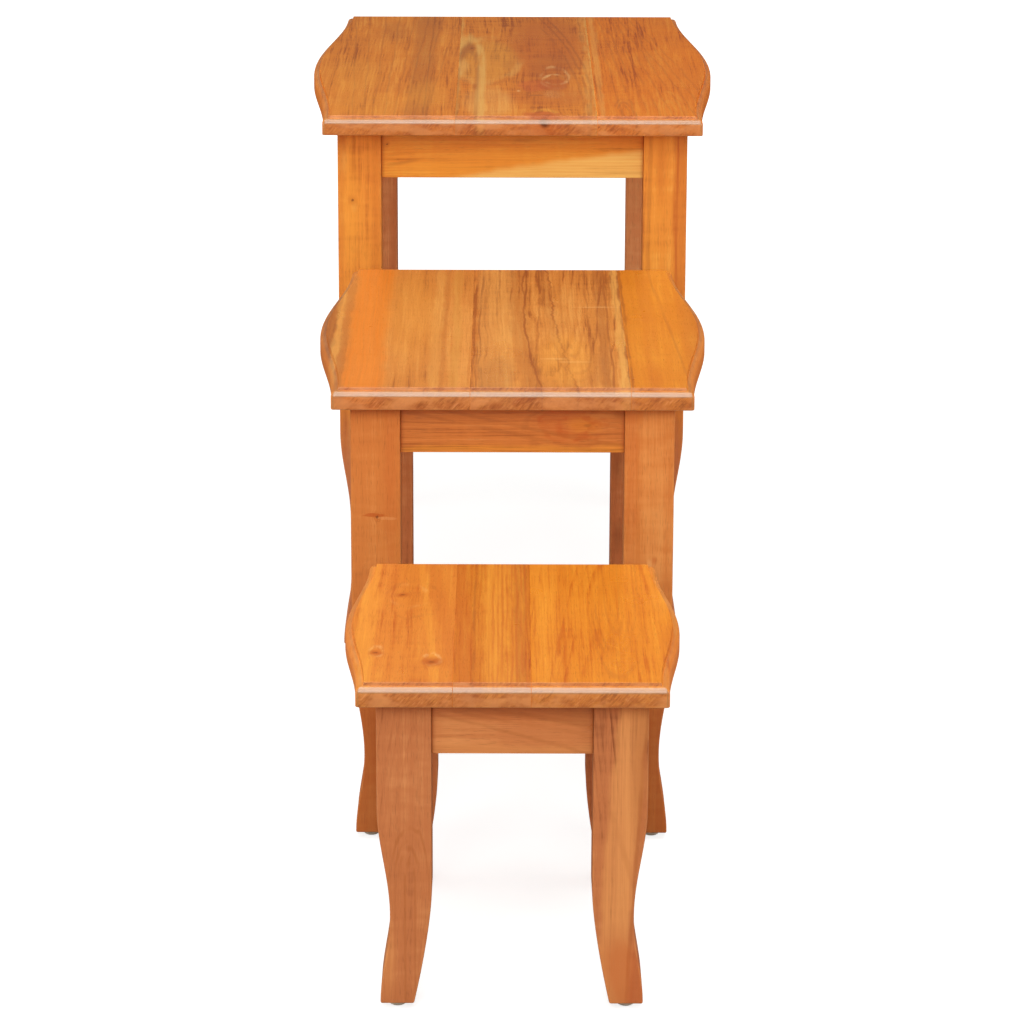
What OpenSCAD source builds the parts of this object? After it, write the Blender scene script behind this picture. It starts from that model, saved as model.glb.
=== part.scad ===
// Nest of three wooden tables, drawn apart in a row.
// X runs across the row, Y along it from the small table to the large one, Z is up from the floor.

/* [Large table] */
// Height from the floor to the top surface
large_height = 504; // [470:1:540]
// Width across the top at its corners
large_width = 336; // [315:1:370]
// How far each long edge swells past the corners
large_bulge = 20; // [8:0.5:26]
// Overhang of the top past the legs at each short end
large_end_overhang = 31; // [15:0.5:40]
// Overhang of the top past the legs at each long side
large_side_overhang = 12; // [8:0.5:22]
// Height above the foot at which the outer curve of the leg starts
large_curve_top = 203; // [160:1:260]
// Height of the aprons
large_apron_h = 44.5; // [38:0.5:50]
// Place of the left glue line across the top
large_left_seam = -51; // [-70:1:-30]
// Place of the right glue line across the top
large_right_seam = 75; // [40:1:90]

/* [Middle table] */
// Height from the floor to the top surface
middle_height = 376; // [340:1:420]
// Width across the top at its corners
middle_width = 282; // [265:1:305]
// How far each long edge swells past the corners
middle_bulge = 17.5; // [8:0.5:24]
// Overhang of the top past the legs at each short end
middle_end_overhang = 11.5; // [8:0.5:20]
// Overhang of the top past the legs at each long side
middle_side_overhang = 14.5; // [8:0.5:20]
// Height above the foot at which the outer curve of the leg starts
middle_curve_top = 150; // [150:1:200]
// Height of the aprons
middle_apron_h = 38; // [36:0.5:50]
// Place of the left glue line across the top
middle_left_seam = -33; // [-60:1:-15]
// Place of the right glue line across the top
middle_right_seam = 92; // [30:1:100]

/* [Small table] */
// Height from the floor to the top surface
small_height = 251; // [230:1:290]
// Length of the top
small_length = 298; // [280:1:340]
// Width across the top at its corners
small_width = 220; // [215:1:240]
// How far each long edge swells past the corners
small_bulge = 12.5; // [6:0.5:18]
// Overhang of the top past the legs at each short end
small_end_overhang = 12; // [8:0.5:18]
// Overhang of the top past the legs at each long side
small_side_overhang = 14; // [8:0.5:16]
// Height above the foot at which the outer curve of the leg starts
small_curve_top = 150; // [150:1:165]
// Height of the aprons
small_apron_h = 39.5; // [36:0.5:50]
// Place of the left glue line across the top
small_left_seam = -42; // [-60:1:-20]
// Place of the right glue line across the top
small_right_seam = 13; // [0:1:50]

/* [Row] */
// Space between the small and the middle top
small_gap = 48; // [30:1:80]
// Space between the middle and the large top
middle_gap = 38; // [30:1:80]
// Space at each end between the small top and the legs that it nests between
small_nest_space = 17.5; // [3:0.5:30]
// Space at each end between the middle top and the legs that it nests between
middle_nest_space = 3.5; // [3:0.5:20]

/* [Tops] */
// Thickness of the top boards
top_t = 17; // [16:0.5:20]
// Height of the plain edge below the moulding
edge_face = 10; // [8:0.5:10.5]
// Radius of the rounded nose of the moulding
nose_r = 4.5; // [3:0.25:4.75]
// Width of the little ledge between the nose and the upper step
ledge = 0.8; // [0.4:0.1:1]
// Lean of the upper step
step_lean = 0.6; // [0.2:0.1:0.9]
// Radius of the corners in plan
corner_r = 2.5; // [1.5:0.5:8]
// Softening of the lower edge
edge_ease = 0.8; // [0.3:0.1:1.5]

/* [Legs] */
// Side of the square leg
leg_side = 39; // [36:0.5:44]
// Length of the outer curve from where it starts to the waist
curve_run = 83; // [70:1:90]
// Height of the waist above the foot
waist_height = 67; // [55:1:67]
// Depth of the waist
waist_depth = 9; // [4:0.5:11]
// Set back of the foot from the straight outer face
foot_inset = 1.9; // [0:0.1:4]
// Height at which the inner edge starts to sweep out
sweep_height = 85; // [60:1:110]
// How far the inner edge has swept out at the foot
sweep_out = 13; // [6:0.5:14]

/* [Aprons] */
// Thickness of the aprons
apron_t = 18; // [16:0.5:20]
// Set back of the aprons from the leg faces
apron_setback = 4; // [2:0.5:6]
// Thickness of the tenons
tenon_t = 8; // [5:0.5:9]
// Length of the tenons
tenon_l = 20; // [14:0.5:21]
// Shoulder above the tenons
tenon_top = 8; // [5:0.5:12]
// Shoulder below the tenons
tenon_bottom = 4; // [3:0.5:8]
// Play round a tenon in its mortise
tenon_play = 0.1; // [0.05:0.05:0.2]
// Space left past a tenon's end
mortise_end = 0.5; // [0.3:0.1:0.6]

/* [Corner blocks] */
// Height of the corner blocks
block_h = 28; // [24:1:34]
// Thickness of the corner blocks
block_t = 18; // [13:0.5:19]
// Space between a corner block and the leg behind it
block_gap = 1.5; // [0.5:0.5:3]
// Radius of the screw shanks
screw_r = 2; // [1.5:0.1:2.3]
// Radius of the screw heads
screw_head_r = 3.8; // [3:0.1:4.4]
// Height of the screw heads
screw_head_h = 2.6; // [2:0.1:3]
// Rounding of the screw heads
screw_dome = 1.1; // [0.5:0.1:1.5]
// Depth of the counterbores in the corner blocks
counterbore = 10; // [5:0.5:15]
// Length of screw in the top
screw_bite = 11; // [6:0.5:12]
// Space round the screws in the corner blocks
screw_play = 0.4; // [0.2:0.1:0.5]

/* [Glides] */
// Radius of the glides
glide_r = 7.5; // [6:0.5:10.5]
// Height of the glides below the feet
glide_h = 6; // [3:0.5:8]
// Height of the straight rim of the glides
glide_rim = 1; // [0.5:0.1:1.5]
// Radius of the flat under the glides
glide_flat_r = 3.5; // [2:0.5:5]
// Middle of the glides from the end face of the leg
glide_in = 15; // [13:0.5:19]
// Radius of the glide nails
nail_r = 1.25; // [0.8:0.05:1.6]
// Length of the nails above the glides
nail_l = 15; // [8:0.5:20]
// Depth of the nail's head in the glide
nail_head = 1.6; // [1:0.1:2]
// Fit of the nails and screws in their holes
pilot_fit = 0.05; // [0.02:0.01:0.1]

/* [Hidden] */
$fn = 48;
// Steps along a long edge, round a corner, round the nose and along a leg's curve
EDGE_STEPS = 28;
CORNER_STEPS = 5;
NOSE_STEPS = 5;
CURVE_STEPS = 12;
// Shape of the inner sweep: 1 is straight, larger values bend later
SWEEP_POWER = 1.45;
// Smallest radius of a top's corners where the moulding steps in
INNER_CORNER_R = 0.8;
// Overrun of a cut past the face that it opens
OVER = 1;
// Tip length of the screws and nails
TIP = 3;

middle_length = small_length + 2 * (small_nest_space + leg_side + middle_end_overhang);
large_length = middle_length + 2 * (middle_nest_space + leg_side + large_end_overhang);
row_length = small_length + small_gap + middle_length + middle_gap + large_length;
small_y = (small_length - row_length) / 2;
middle_y = -row_length / 2 + small_length + small_gap + middle_length / 2;
large_y = (row_length - large_length) / 2;

// A table is a list of its sizes, and these functions read it
function name_of(t) = t[0];
function height(t) = t[1];
function length(t) = t[2];
function width(t) = t[3];
function bulge(t) = t[4];
function end_overhang(t) = t[5];
function side_overhang(t) = t[6];
function curve_top(t) = t[7];
function seams(t) = t[8];
function place(t) = t[9];
function apron_h(t) = t[10];
LARGE = ["large", large_height, large_length, large_width, large_bulge, large_end_overhang,
         large_side_overhang, large_curve_top, [large_left_seam, large_right_seam], large_y,
         large_apron_h];
MIDDLE = ["middle", middle_height, middle_length, middle_width, middle_bulge, middle_end_overhang,
          middle_side_overhang, middle_curve_top, [middle_left_seam, middle_right_seam], middle_y,
          middle_apron_h];
SMALL = ["small", small_height, small_length, small_width, small_bulge, small_end_overhang,
         small_side_overhang, small_curve_top, [small_left_seam, small_right_seam], small_y,
         small_apron_h];
TABLES = [LARGE, MIDDLE, SMALL];

BOARDS = ["left", "centre", "right"];
ENDS = ["front", "rear"];
SIDES = ["left", "right"];
PARTS = concat(
    [for (b = BOARDS) str("top_board_", b)],
    [for (e = ENDS, s = SIDES) str("leg_", e, "_", s)],
    [for (e = ENDS) str("apron_", e)],
    [for (s = SIDES) str("apron_", s)],
    ["corner_blocks", "block_screws", "glides", "glide_nails"]);

// Half the size of the leg frame, outside
function frame_x(t) = width(t) / 2 - side_overhang(t);
function frame_y(t) = length(t) / 2 - end_overhang(t);
// Underside of the top
function under_top(t) = height(t) - top_t;

// Half width of the top at y: the long edge is one wave of a cosine between the rounded corners
function wave_half(t) = length(t) / 2 - corner_r;
function half_width(t, y) = width(t) / 2 + bulge(t) * (1 + cos(180 * y / wave_half(t))) / 2;
function wave_slope(t, y) = -bulge(t) * sin(180 * y / wave_half(t)) * PI / 2 / wave_half(t);

// Outline of the top, anticlockwise, moved inwards by d
function side_point(t, y, d) =
    let(slope = wave_slope(t, y), n = sqrt(1 + slope * slope))
    [half_width(t, y) - d / n, y + d * slope / n];
function round_r(d) = max(corner_r - d, INNER_CORNER_R);
function side_end(t, d) = length(t) / 2 - d - round_r(d);
function side_points(t, d) =
    [for (i = [0:EDGE_STEPS]) side_point(t, side_end(t, d) * (2 * i / EDGE_STEPS - 1), d)];
function corner_point(t, end, a, d) =
    [width(t) / 2 - d - round_r(d) * (1 - cos(a)), end * side_end(t, d) + round_r(d) * sin(a)];
function half_outline(t, d) =
    let(n = CORNER_STEPS)
    concat(
        [for (i = [0:n - 1]) corner_point(t, -1, 90 * (i / n - 1), d)],
        side_points(t, d),
        [for (i = [1:n]) corner_point(t, 1, 90 * i / n, d)]);
function outline(t, d) = concat(half_outline(t, d), [for (p = half_outline(t, d)) -p]);

// Edge section of the top as [inset, height]: eased foot, plain face, round nose, ledge, leaning step
EDGE_SECTION = concat(
    [[edge_ease, 0], [0, edge_ease], [0, edge_face]],
    [for (i = [1:NOSE_STEPS])
        let(a = 90 * i / NOSE_STEPS)
        [nose_r * (1 - cos(a)), edge_face + nose_r * sin(a)]],
    [[nose_r + ledge, edge_face + nose_r], [nose_r + ledge + step_lean, top_t]]);

// The whole top as one closed skin of rings, one ring for each point of the edge section
module top_blank(t) {
    rings = [for (s = EDGE_SECTION) [for (p = outline(t, s[0])) [p[0], p[1], under_top(t) + s[1]]]];
    count = len(rings[0]);
    last = len(rings) - 1;
    points = [for (r = rings, p = r) p];
    walls = [for (k = [0:last - 1], i = [0:count - 1])
        let(j = (i + 1) % count)
        [k * count + i, (k + 1) * count + i, (k + 1) * count + j, k * count + j]];
    floor_face = [for (i = [0:count - 1]) i];
    top_face = [for (i = [count - 1:-1:0]) last * count + i];
    polyhedron(points = points, faces = concat(walls, [floor_face, top_face]), convexity = 4);
}

// Repeats its children at the four corners, where +X and +Y of the child point inwards
module at_corners(t) {
    for (x = [-1, 1], y = [-1, 1])
        corner(t, x, y) children();
}

module corner(t, x, y) {
    translate([x * frame_x(t), y * frame_y(t), 0])
        mirror([x > 0 ? 1 : 0, 0, 0])
            mirror([0, y > 0 ? 1 : 0, 0])
                children();
}

// Corner block, measured from the outer corner of the leg
APRON_IN = apron_setback + apron_t;
BLOCK_NEAR = 2 * leg_side - APRON_IN + block_gap * sqrt(2);
BLOCK_FAR = BLOCK_NEAR + block_t * sqrt(2);
SCREW_XY = (BLOCK_NEAR + BLOCK_FAR + 2 * APRON_IN) / 4;
// Middle of the foot from side to side, where its glide sits
GLIDE_X = (foot_inset + leg_side - sweep_out) / 2;

// One board of a top, between two glue lines
module top_board(t, from_x, to_x) {
    color("peru")
        difference() {
            intersection() {
                top_blank(t);
                translate([from_x, -length(t), 0])
                    cube([to_x - from_x, 2 * length(t), height(t) + OVER]);
            }
            at_corners(t)
                translate([SCREW_XY, SCREW_XY, under_top(t) - OVER])
                    cylinder(r = screw_r + pilot_fit, h = screw_bite + mortise_end + OVER);
        }
}

// Outer edge of the leg, set back by this much at height h above the foot
function ease(u) = (1 - cos(180 * u)) / 2;
function outer_edge(h, start) =
    h >= start ? 0
    : h >= start - curve_run ? waist_depth * ease((start - h) / curve_run)
    : h >= waist_height ? waist_depth
    : waist_depth - (waist_depth - foot_inset) * ease((waist_height - h) / waist_height);
function inner_edge(h) = leg_side - sweep_out * pow((sweep_height - h) / sweep_height, SWEEP_POWER);

// Side view of a leg: x from its outer face, y up from its foot
function leg_outline(t) =
    let(
        top_h = under_top(t) - glide_h,
        start = curve_top(t),
        n = CURVE_STEPS,
        upper = [for (i = [0:n]) start - curve_run * i / n],
        lower = [for (i = [0:n]) waist_height * (1 - i / n)],
        waist = start - curve_run > waist_height ? lower : [for (i = [1:n]) lower[i]])
    concat(
        [[0, top_h]],
        [for (h = concat(upper, waist)) [outer_edge(h, start), h]],
        [for (i = [0:n]) [inner_edge(sweep_height * i / n), sweep_height * i / n]],
        [[leg_side, top_h]]);

// Mortise for an apron that runs along +X from the leg's inner face
module mortise(t) {
    low = under_top(t) - apron_h(t) + tenon_bottom - tenon_play;
    across = apron_setback + (apron_t - tenon_t) / 2 - tenon_play;
    translate([leg_side - tenon_l - mortise_end, across, low])
        cube([tenon_l + mortise_end + OVER, tenon_t + 2 * tenon_play,
              apron_h(t) - tenon_bottom - tenon_top + 2 * tenon_play]);
}

// Swaps X and Y, so that what is drawn along X lies along Y
module along_y() {
    mirror([1, -1, 0]) children();
}

module leg(t, x, y) {
    color("sienna")
        corner(t, x, y)
            difference() {
                translate([0, leg_side, glide_h])
                    rotate([90, 0, 0])
                        linear_extrude(leg_side)
                            polygon(leg_outline(t));
                mortise(t);
                along_y() mortise(t);
                translate([GLIDE_X, glide_in, glide_h - OVER])
                    cylinder(r = nail_r + pilot_fit, h = nail_l + mortise_end + OVER);
            }
}

// Apron of this length between shoulders, its outer face at y = 0, with a tenon at each end
module apron_board(t, length) {
    translate([-length / 2, 0, under_top(t) - apron_h(t)])
        cube([length, apron_t, apron_h(t)]);
    translate([-length / 2 - tenon_l, (apron_t - tenon_t) / 2, under_top(t) - apron_h(t) + tenon_bottom])
        cube([length + 2 * tenon_l, tenon_t, apron_h(t) - tenon_bottom - tenon_top]);
}

// Apron across one short end: end is -1 at the front, 1 at the rear
module end_apron(t, end) {
    color("chocolate")
        mirror([0, end > 0 ? 1 : 0, 0])
            translate([0, -frame_y(t) + apron_setback, 0])
                apron_board(t, 2 * (frame_x(t) - leg_side));
}

// Apron along one long side: side is -1 on the left, 1 on the right
module side_apron(t, side) {
    color("chocolate")
        mirror([side > 0 ? 1 : 0, 0, 0])
            translate([-frame_x(t) + apron_setback, 0, 0])
                along_y() apron_board(t, 2 * (frame_y(t) - leg_side));
}

module corner_blocks(t) {
    color("burlywood")
        at_corners(t)
            difference() {
                translate([0, 0, under_top(t) - block_h])
                    linear_extrude(block_h)
                        polygon([[BLOCK_NEAR, APRON_IN], [BLOCK_FAR, APRON_IN],
                                 [APRON_IN, BLOCK_FAR], [APRON_IN, BLOCK_NEAR]]);
                translate([SCREW_XY, SCREW_XY, under_top(t) - block_h - OVER])
                    cylinder(r = screw_head_r + screw_play, h = counterbore + OVER);
                translate([SCREW_XY, SCREW_XY, under_top(t) - block_h])
                    cylinder(r = screw_r + screw_play, h = block_h + OVER);
            }
}

// Screws from below through the corner blocks into the top
module block_screws(t) {
    seat = under_top(t) - block_h + counterbore;
    shank = block_h - counterbore + screw_bite;
    color("silver")
        at_corners(t)
            translate([SCREW_XY, SCREW_XY, seat])
                rotate_extrude()
                    polygon([[0, -screw_head_h], [screw_head_r - screw_dome, -screw_head_h],
                             [screw_head_r, screw_dome - screw_head_h], [screw_head_r, 0], [screw_r, 0],
                             [screw_r, shank - TIP], [0, shank]]);
}

// Domed glides, one under each foot, round the heads of their nails
module glides(t) {
    color("gainsboro")
        at_corners(t)
            translate([GLIDE_X, glide_in, 0])
                difference() {
                    rotate_extrude()
                        polygon(concat(
                            [[0, 0], [glide_flat_r, 0]],
                            [for (i = [1:NOSE_STEPS])
                                let(a = 90 * i / NOSE_STEPS)
                                [glide_flat_r + (glide_r - glide_flat_r) * sin(a),
                                 (glide_h - glide_rim) * (1 - cos(a))]],
                            [[glide_r, glide_h], [0, glide_h]]));
                    translate([0, 0, glide_h - nail_head])
                        cylinder(r = 2 * nail_r + pilot_fit, h = nail_head + OVER);
                }
}

module glide_nails(t) {
    color("gray")
        at_corners(t)
            translate([GLIDE_X, glide_in, glide_h])
                rotate_extrude()
                    polygon([[0, -nail_head], [2 * nail_r, -nail_head], [2 * nail_r, 0], [nail_r, 0],
                             [nail_r, nail_l - TIP], [0, nail_l]]);
}

// Draws its children if this part of this table is wanted, at the table's place in the row
module part(t, name) {
    translate([0, place(t), 0]) children();
}

for (t = TABLES) {
    lines = [-width(t), seams(t)[0], seams(t)[1], width(t)];
    for (i = [0:len(BOARDS) - 1])
        part(t, str("top_board_", BOARDS[i])) top_board(t, lines[i], lines[i + 1]);
    for (e = [0, 1], s = [0, 1])
        part(t, str("leg_", ENDS[e], "_", SIDES[s])) leg(t, 2 * s - 1, 2 * e - 1);
    for (e = [0, 1])
        part(t, str("apron_", ENDS[e])) end_apron(t, 2 * e - 1);
    for (s = [0, 1])
        part(t, str("apron_", SIDES[s])) side_apron(t, 2 * s - 1);
    part(t, "corner_blocks") corner_blocks(t);
    part(t, "block_screws") block_screws(t);
    part(t, "glides") glides(t);
    part(t, "glide_nails") glide_nails(t);
}
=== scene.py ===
"""The looks of a nest of tables: moulded tops of glued boards, shaped legs, aprons and glides."""
import math
import bmesh
import bpy
from mathutils import Matrix, Vector


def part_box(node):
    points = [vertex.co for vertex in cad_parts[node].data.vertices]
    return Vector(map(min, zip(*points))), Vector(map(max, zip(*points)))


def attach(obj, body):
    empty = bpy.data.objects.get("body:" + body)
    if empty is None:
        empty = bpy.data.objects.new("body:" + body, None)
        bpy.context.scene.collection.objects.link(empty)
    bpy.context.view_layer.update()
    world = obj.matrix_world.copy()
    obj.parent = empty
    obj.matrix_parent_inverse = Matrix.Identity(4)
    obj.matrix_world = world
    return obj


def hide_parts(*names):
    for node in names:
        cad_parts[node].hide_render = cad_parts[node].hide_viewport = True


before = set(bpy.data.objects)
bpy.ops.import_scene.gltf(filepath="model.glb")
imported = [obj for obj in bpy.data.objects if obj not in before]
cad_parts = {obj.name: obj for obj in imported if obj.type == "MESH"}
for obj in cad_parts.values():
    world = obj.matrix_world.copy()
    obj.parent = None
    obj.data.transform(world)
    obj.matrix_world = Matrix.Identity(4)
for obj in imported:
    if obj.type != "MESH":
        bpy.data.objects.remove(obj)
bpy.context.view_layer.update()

MM = 0.001
TABLES = ("large", "middle", "small")

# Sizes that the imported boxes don't give, as in the part
CORNER_WIDTH = {"large": 336 * MM, "middle": 282 * MM, "small": 220 * MM}
CURVE_TOP = {"large": 203 * MM, "middle": 150 * MM, "small": 150 * MM}
CORNER_R = 2.5 * MM
INNER_CORNER_R = 0.8 * MM
EDGE_FACE = 10 * MM
NOSE_R = 4.5 * MM
LEDGE = 0.8 * MM
STEP_LEAN = 0.6 * MM
STEP_EASE = 0.3 * MM
EDGE_EASE = 0.8 * MM
CURVE_RUN = 83 * MM
WAIST_HEIGHT = 67 * MM
WAIST_DEPTH = 9 * MM
FOOT_INSET = 1.9 * MM
SWEEP_HEIGHT = 85 * MM
SWEEP_OUT = 13 * MM
SWEEP_POWER = 1.45
TENON_TOP = 8 * MM
TENON_BOTTOM = 4 * MM
TENON_T = 8 * MM
TENON_L = 20 * MM
TENON_PLAY = 0.1 * MM
MORTISE_END = 0.5 * MM
APRON_SETBACK = 4 * MM
# The painted shade on the sides of a moulding, a darker orange, starts this far inside the width of the
# corners
SIDE_SHADE_BAND = 8 * MM

# What only the looks have: softened edges, the fine groove at a glue line and how finely curves are cut
LEG_ROUND = 1.3 * MM
APRON_ROUND = 0.9 * MM
SEAM_GROOVE = 0.18 * MM
EDGE_STEPS = 72
CORNER_STEPS = 8
NOSE_STEPS = 9
CURVE_STEPS = 26
LEG_ROUND_STEPS = 4
APRON_ROUND_STEPS = 3
SMOOTH_ANGLE = math.radians(32)
ARRIS_ANGLE = math.radians(50)
WIDE_FACE = 1.6 * MM
TOUCHING = 0.001 * MM
EDGE_ATTRIBUTE = "rounded_edge"


def srgb(red, green, blue):
    """A colour as the eye names it, 0 to 255, as the shader's linear values."""
    def linear(value):
        value /= 255
        return value / 12.92 if value <= 0.04045 else ((value + 0.055) / 1.055) ** 2.4
    return (linear(red), linear(green), linear(blue), 1.0)


# Shape of the tops

def top_sizes(table):
    """Length, height and place of a table's top, read from the boxes of its boards."""
    left_low, left_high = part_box(f"{table}_top_board_left")
    right_low, right_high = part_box(f"{table}_top_board_right")
    return {
        "half_length": (left_high.y - left_low.y) / 2,
        "place": (left_high.y + left_low.y) / 2,
        "half_corner": CORNER_WIDTH[table] / 2,
        "bulge": right_high.x - CORNER_WIDTH[table] / 2,
        "under": left_low.z,
        "thick": left_high.z - left_low.z,
        "seams": (left_high.x, right_low.x),
    }


def side_point(size, y, inset):
    """A point of the wavy long edge, moved inwards at right angles to it."""
    wave = size["half_length"] - CORNER_R
    x = size["half_corner"] + size["bulge"] * (1 + math.cos(math.pi * y / wave)) / 2
    slope = -size["bulge"] * math.sin(math.pi * y / wave) * math.pi / 2 / wave
    long = math.sqrt(1 + slope * slope)
    return (x - inset / long, y + inset * slope / long)


def side_end(size, inset):
    """Where the long edge ends and the corner's rounding starts, for an outline moved inwards."""
    return size["half_length"] - inset - max(CORNER_R - inset, INNER_CORNER_R)


def corner_point(size, end, angle, inset):
    """A point of the rounded corner at the front or rear end, at this angle of the rounding."""
    radius = max(CORNER_R - inset, INNER_CORNER_R)
    x = size["half_corner"] - inset - radius * (1 - math.cos(angle))
    return (x, end * side_end(size, inset) + radius * math.sin(angle))


def top_outline(size, inset):
    """The wavy outline of a top, anticlockwise, moved inwards."""
    reach = side_end(size, inset)
    quarter = math.pi / 2
    half = [corner_point(size, -1, quarter * (i / CORNER_STEPS - 1), inset) for i in range(CORNER_STEPS)]
    half += [side_point(size, reach * (2 * i / EDGE_STEPS - 1), inset) for i in range(EDGE_STEPS + 1)]
    half += [corner_point(size, 1, quarter * i / CORNER_STEPS, inset) for i in range(1, CORNER_STEPS + 1)]
    return half + [(-x, -y) for x, y in half]


def edge_section(thick):
    """The moulding as (inset, height): eased foot, plain face, round nose, ledge and leaning step."""
    section = [(EDGE_EASE, 0), (EDGE_EASE * 0.3, EDGE_EASE * 0.3), (0, EDGE_EASE), (0, EDGE_FACE)]
    for i in range(1, NOSE_STEPS + 1):
        angle = math.pi / 2 * i / NOSE_STEPS
        section.append((NOSE_R * (1 - math.cos(angle)), EDGE_FACE + NOSE_R * math.sin(angle)))
    section.append((NOSE_R + LEDGE, EDGE_FACE + NOSE_R))
    step = NOSE_R + LEDGE + STEP_LEAN
    section.append((step - STEP_EASE / 3, thick - STEP_EASE))
    section.append((step + STEP_EASE * 2 / 3, thick))
    return section


def bridge(mesh, first, second):
    """Faces between two rings of points."""
    for i in range(len(first)):
        j = (i + 1) % len(first)
        mesh.faces.new((first[i], first[j], second[j], second[i]))


def top_blank(size):
    """The whole top in one piece, as rings of points from its underside up."""
    mesh = bmesh.new()
    rings = []
    for inset, height in edge_section(size["thick"]):
        rings.append([mesh.verts.new((x, y + size["place"], size["under"] + height))
                      for x, y in top_outline(size, inset)])
    for low, high in zip(rings, rings[1:]):
        bridge(mesh, low, high)
    mesh.faces.new(list(reversed(rings[0])))
    mesh.faces.new(rings[-1])
    return mesh


def keep_side(mesh, x, side):
    """Cuts the mesh at a glue line, keeps the part on that side and closes the cut."""
    everything = mesh.verts[:] + mesh.edges[:] + mesh.faces[:]
    bmesh.ops.bisect_plane(mesh, geom=everything, plane_co=(x, 0, 0), plane_no=(side, 0, 0), clear_inner=True)
    rim = [edge for edge in mesh.edges if len(edge.link_faces) == 1]
    bmesh.ops.edgeloop_fill(mesh, edges=rim)
    bmesh.ops.recalc_face_normals(mesh, faces=mesh.faces[:])
    arris = [edge for edge in mesh.edges
             if len(edge.link_faces) == 2
             and any(abs(face.normal.x) > 0.99 for face in edge.link_faces)
             and all(abs(vert.co.x - x) < TOUCHING for vert in edge.verts)]
    bmesh.ops.bevel(mesh, geom=arris, offset=SEAM_GROOVE, segments=1, affect="EDGES", profile=0.5)


def board_mesh(table, which):
    """One of the three boards of a top: left, centre or right."""
    size = top_sizes(table)
    mesh = top_blank(size)
    left, right = size["seams"]
    if which in ("centre", "right"):
        keep_side(mesh, left if which == "centre" else right, 1)
    if which in ("centre", "left"):
        keep_side(mesh, right if which == "centre" else left, -1)
    return mesh


# Shape of the legs

def ease(value):
    """A smooth step from 0 to 1."""
    return (1 - math.cos(math.pi * value)) / 2


def outer_edge(height, start):
    """How far the outer edge of a leg lies in at this height; its curve starts at height start."""
    if height >= start:
        return 0.0
    if height >= start - CURVE_RUN:
        return WAIST_DEPTH * ease((start - height) / CURVE_RUN)
    if height >= WAIST_HEIGHT:
        return WAIST_DEPTH
    return WAIST_DEPTH - (WAIST_DEPTH - FOOT_INSET) * ease((WAIST_HEIGHT - height) / WAIST_HEIGHT)


def leg_outline(side, top, start):
    """Side view of a leg: x from its outer face, z up from its foot."""
    points = [(0.0, top)]
    heights = [start - CURVE_RUN * i / CURVE_STEPS for i in range(CURVE_STEPS + 1)]
    if heights[-1] > WAIST_HEIGHT + MM:
        heights.append(WAIST_HEIGHT)
    heights += [WAIST_HEIGHT * (1 - i / CURVE_STEPS) for i in range(1, CURVE_STEPS + 1)]
    points += [(outer_edge(height, start), height) for height in heights]
    for i in range(CURVE_STEPS + 1):
        height = SWEEP_HEIGHT * i / CURVE_STEPS
        points.append((side - SWEEP_OUT * (1 - height / SWEEP_HEIGHT) ** SWEEP_POWER, height))
    points.append((side, top))
    return points


def box_mesh(low, high):
    mesh = bmesh.new()
    bmesh.ops.create_cube(mesh, size=1)
    for vert in mesh.verts:
        vert.co = Vector(low[i] + (vert.co[i] + 0.5) * (high[i] - low[i]) for i in range(3))
    return mesh


def loose_object(mesh, name):
    """The bmesh as an object of its own."""
    data = bpy.data.meshes.new(name)
    mesh.to_mesh(data)
    mesh.free()
    made = bpy.data.objects.new(name, data)
    bpy.context.scene.collection.objects.link(made)
    return made


def cut_away(piece, cutters):
    """Cuts the boxes out of the piece for good."""
    for number, (low, high) in enumerate(cutters):
        cutter = loose_object(box_mesh(low, high), f"{piece.name}_cutter_{number}")
        cut = piece.modifiers.new("mortise", "BOOLEAN")
        cut.object = cutter
        cut.solver = "EXACT"
        bpy.context.view_layer.update()
        evaluated = piece.evaluated_get(bpy.context.evaluated_depsgraph_get())
        carved = bpy.data.meshes.new_from_object(evaluated)
        piece.modifiers.clear()
        piece.data = carved
        bpy.data.objects.remove(cutter)


def leg_mesh(table, low, high, side):
    """A leg in its box, with softened arrises. side is -1 on the left."""
    outline = leg_outline(high.x - low.x, high.z - low.z, CURVE_TOP[table])
    mesh = bmesh.new()
    outer = low.x if side < 0 else high.x
    near = [mesh.verts.new((outer - side * x, low.y, low.z + z)) for x, z in outline]
    far = [mesh.verts.new((outer - side * x, high.y, low.z + z)) for x, z in outline]
    bridge(mesh, near, far)
    mesh.faces.new(near)
    mesh.faces.new(far)
    bmesh.ops.recalc_face_normals(mesh, faces=mesh.faces[:])
    arris = [edge for edge in mesh.edges
             if edge.calc_face_angle() > ARRIS_ANGLE
             and not all(abs(vert.co.z - high.z) < TOUCHING for vert in edge.verts)]
    bmesh.ops.bevel(mesh, geom=arris, offset=LEG_ROUND, segments=LEG_ROUND_STEPS, affect="EDGES",
                    profile=0.5, clamp_overlap=True)
    return mesh


def mortises(low, high, apron, end, side):
    """The two sockets of a leg for the tenons of its end apron and its side apron. end is -1 at the front."""
    apron_low, apron_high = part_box(apron)
    bottom = apron_low.z + TENON_BOTTOM - TENON_PLAY
    top = apron_high.z - TENON_TOP + TENON_PLAY
    thick = apron_high.y - apron_low.y
    start = APRON_SETBACK + (thick - TENON_T) / 2 - TENON_PLAY
    stop = start + TENON_T + 2 * TENON_PLAY
    depth = high.x - low.x - TENON_L - MORTISE_END
    past = high.x - low.x + MM

    def placed(x_range, y_range):
        x_outer = low.x if side < 0 else high.x
        y_outer = low.y if end < 0 else high.y
        xs = sorted(x_outer - side * x for x in x_range)
        ys = sorted(y_outer - end * y for y in y_range)
        return (xs[0], ys[0], bottom), (xs[1], ys[1], top)
    return [placed((depth, past), (start, stop)), placed((start, stop), (depth, past))]


# Shape of the aprons

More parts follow.
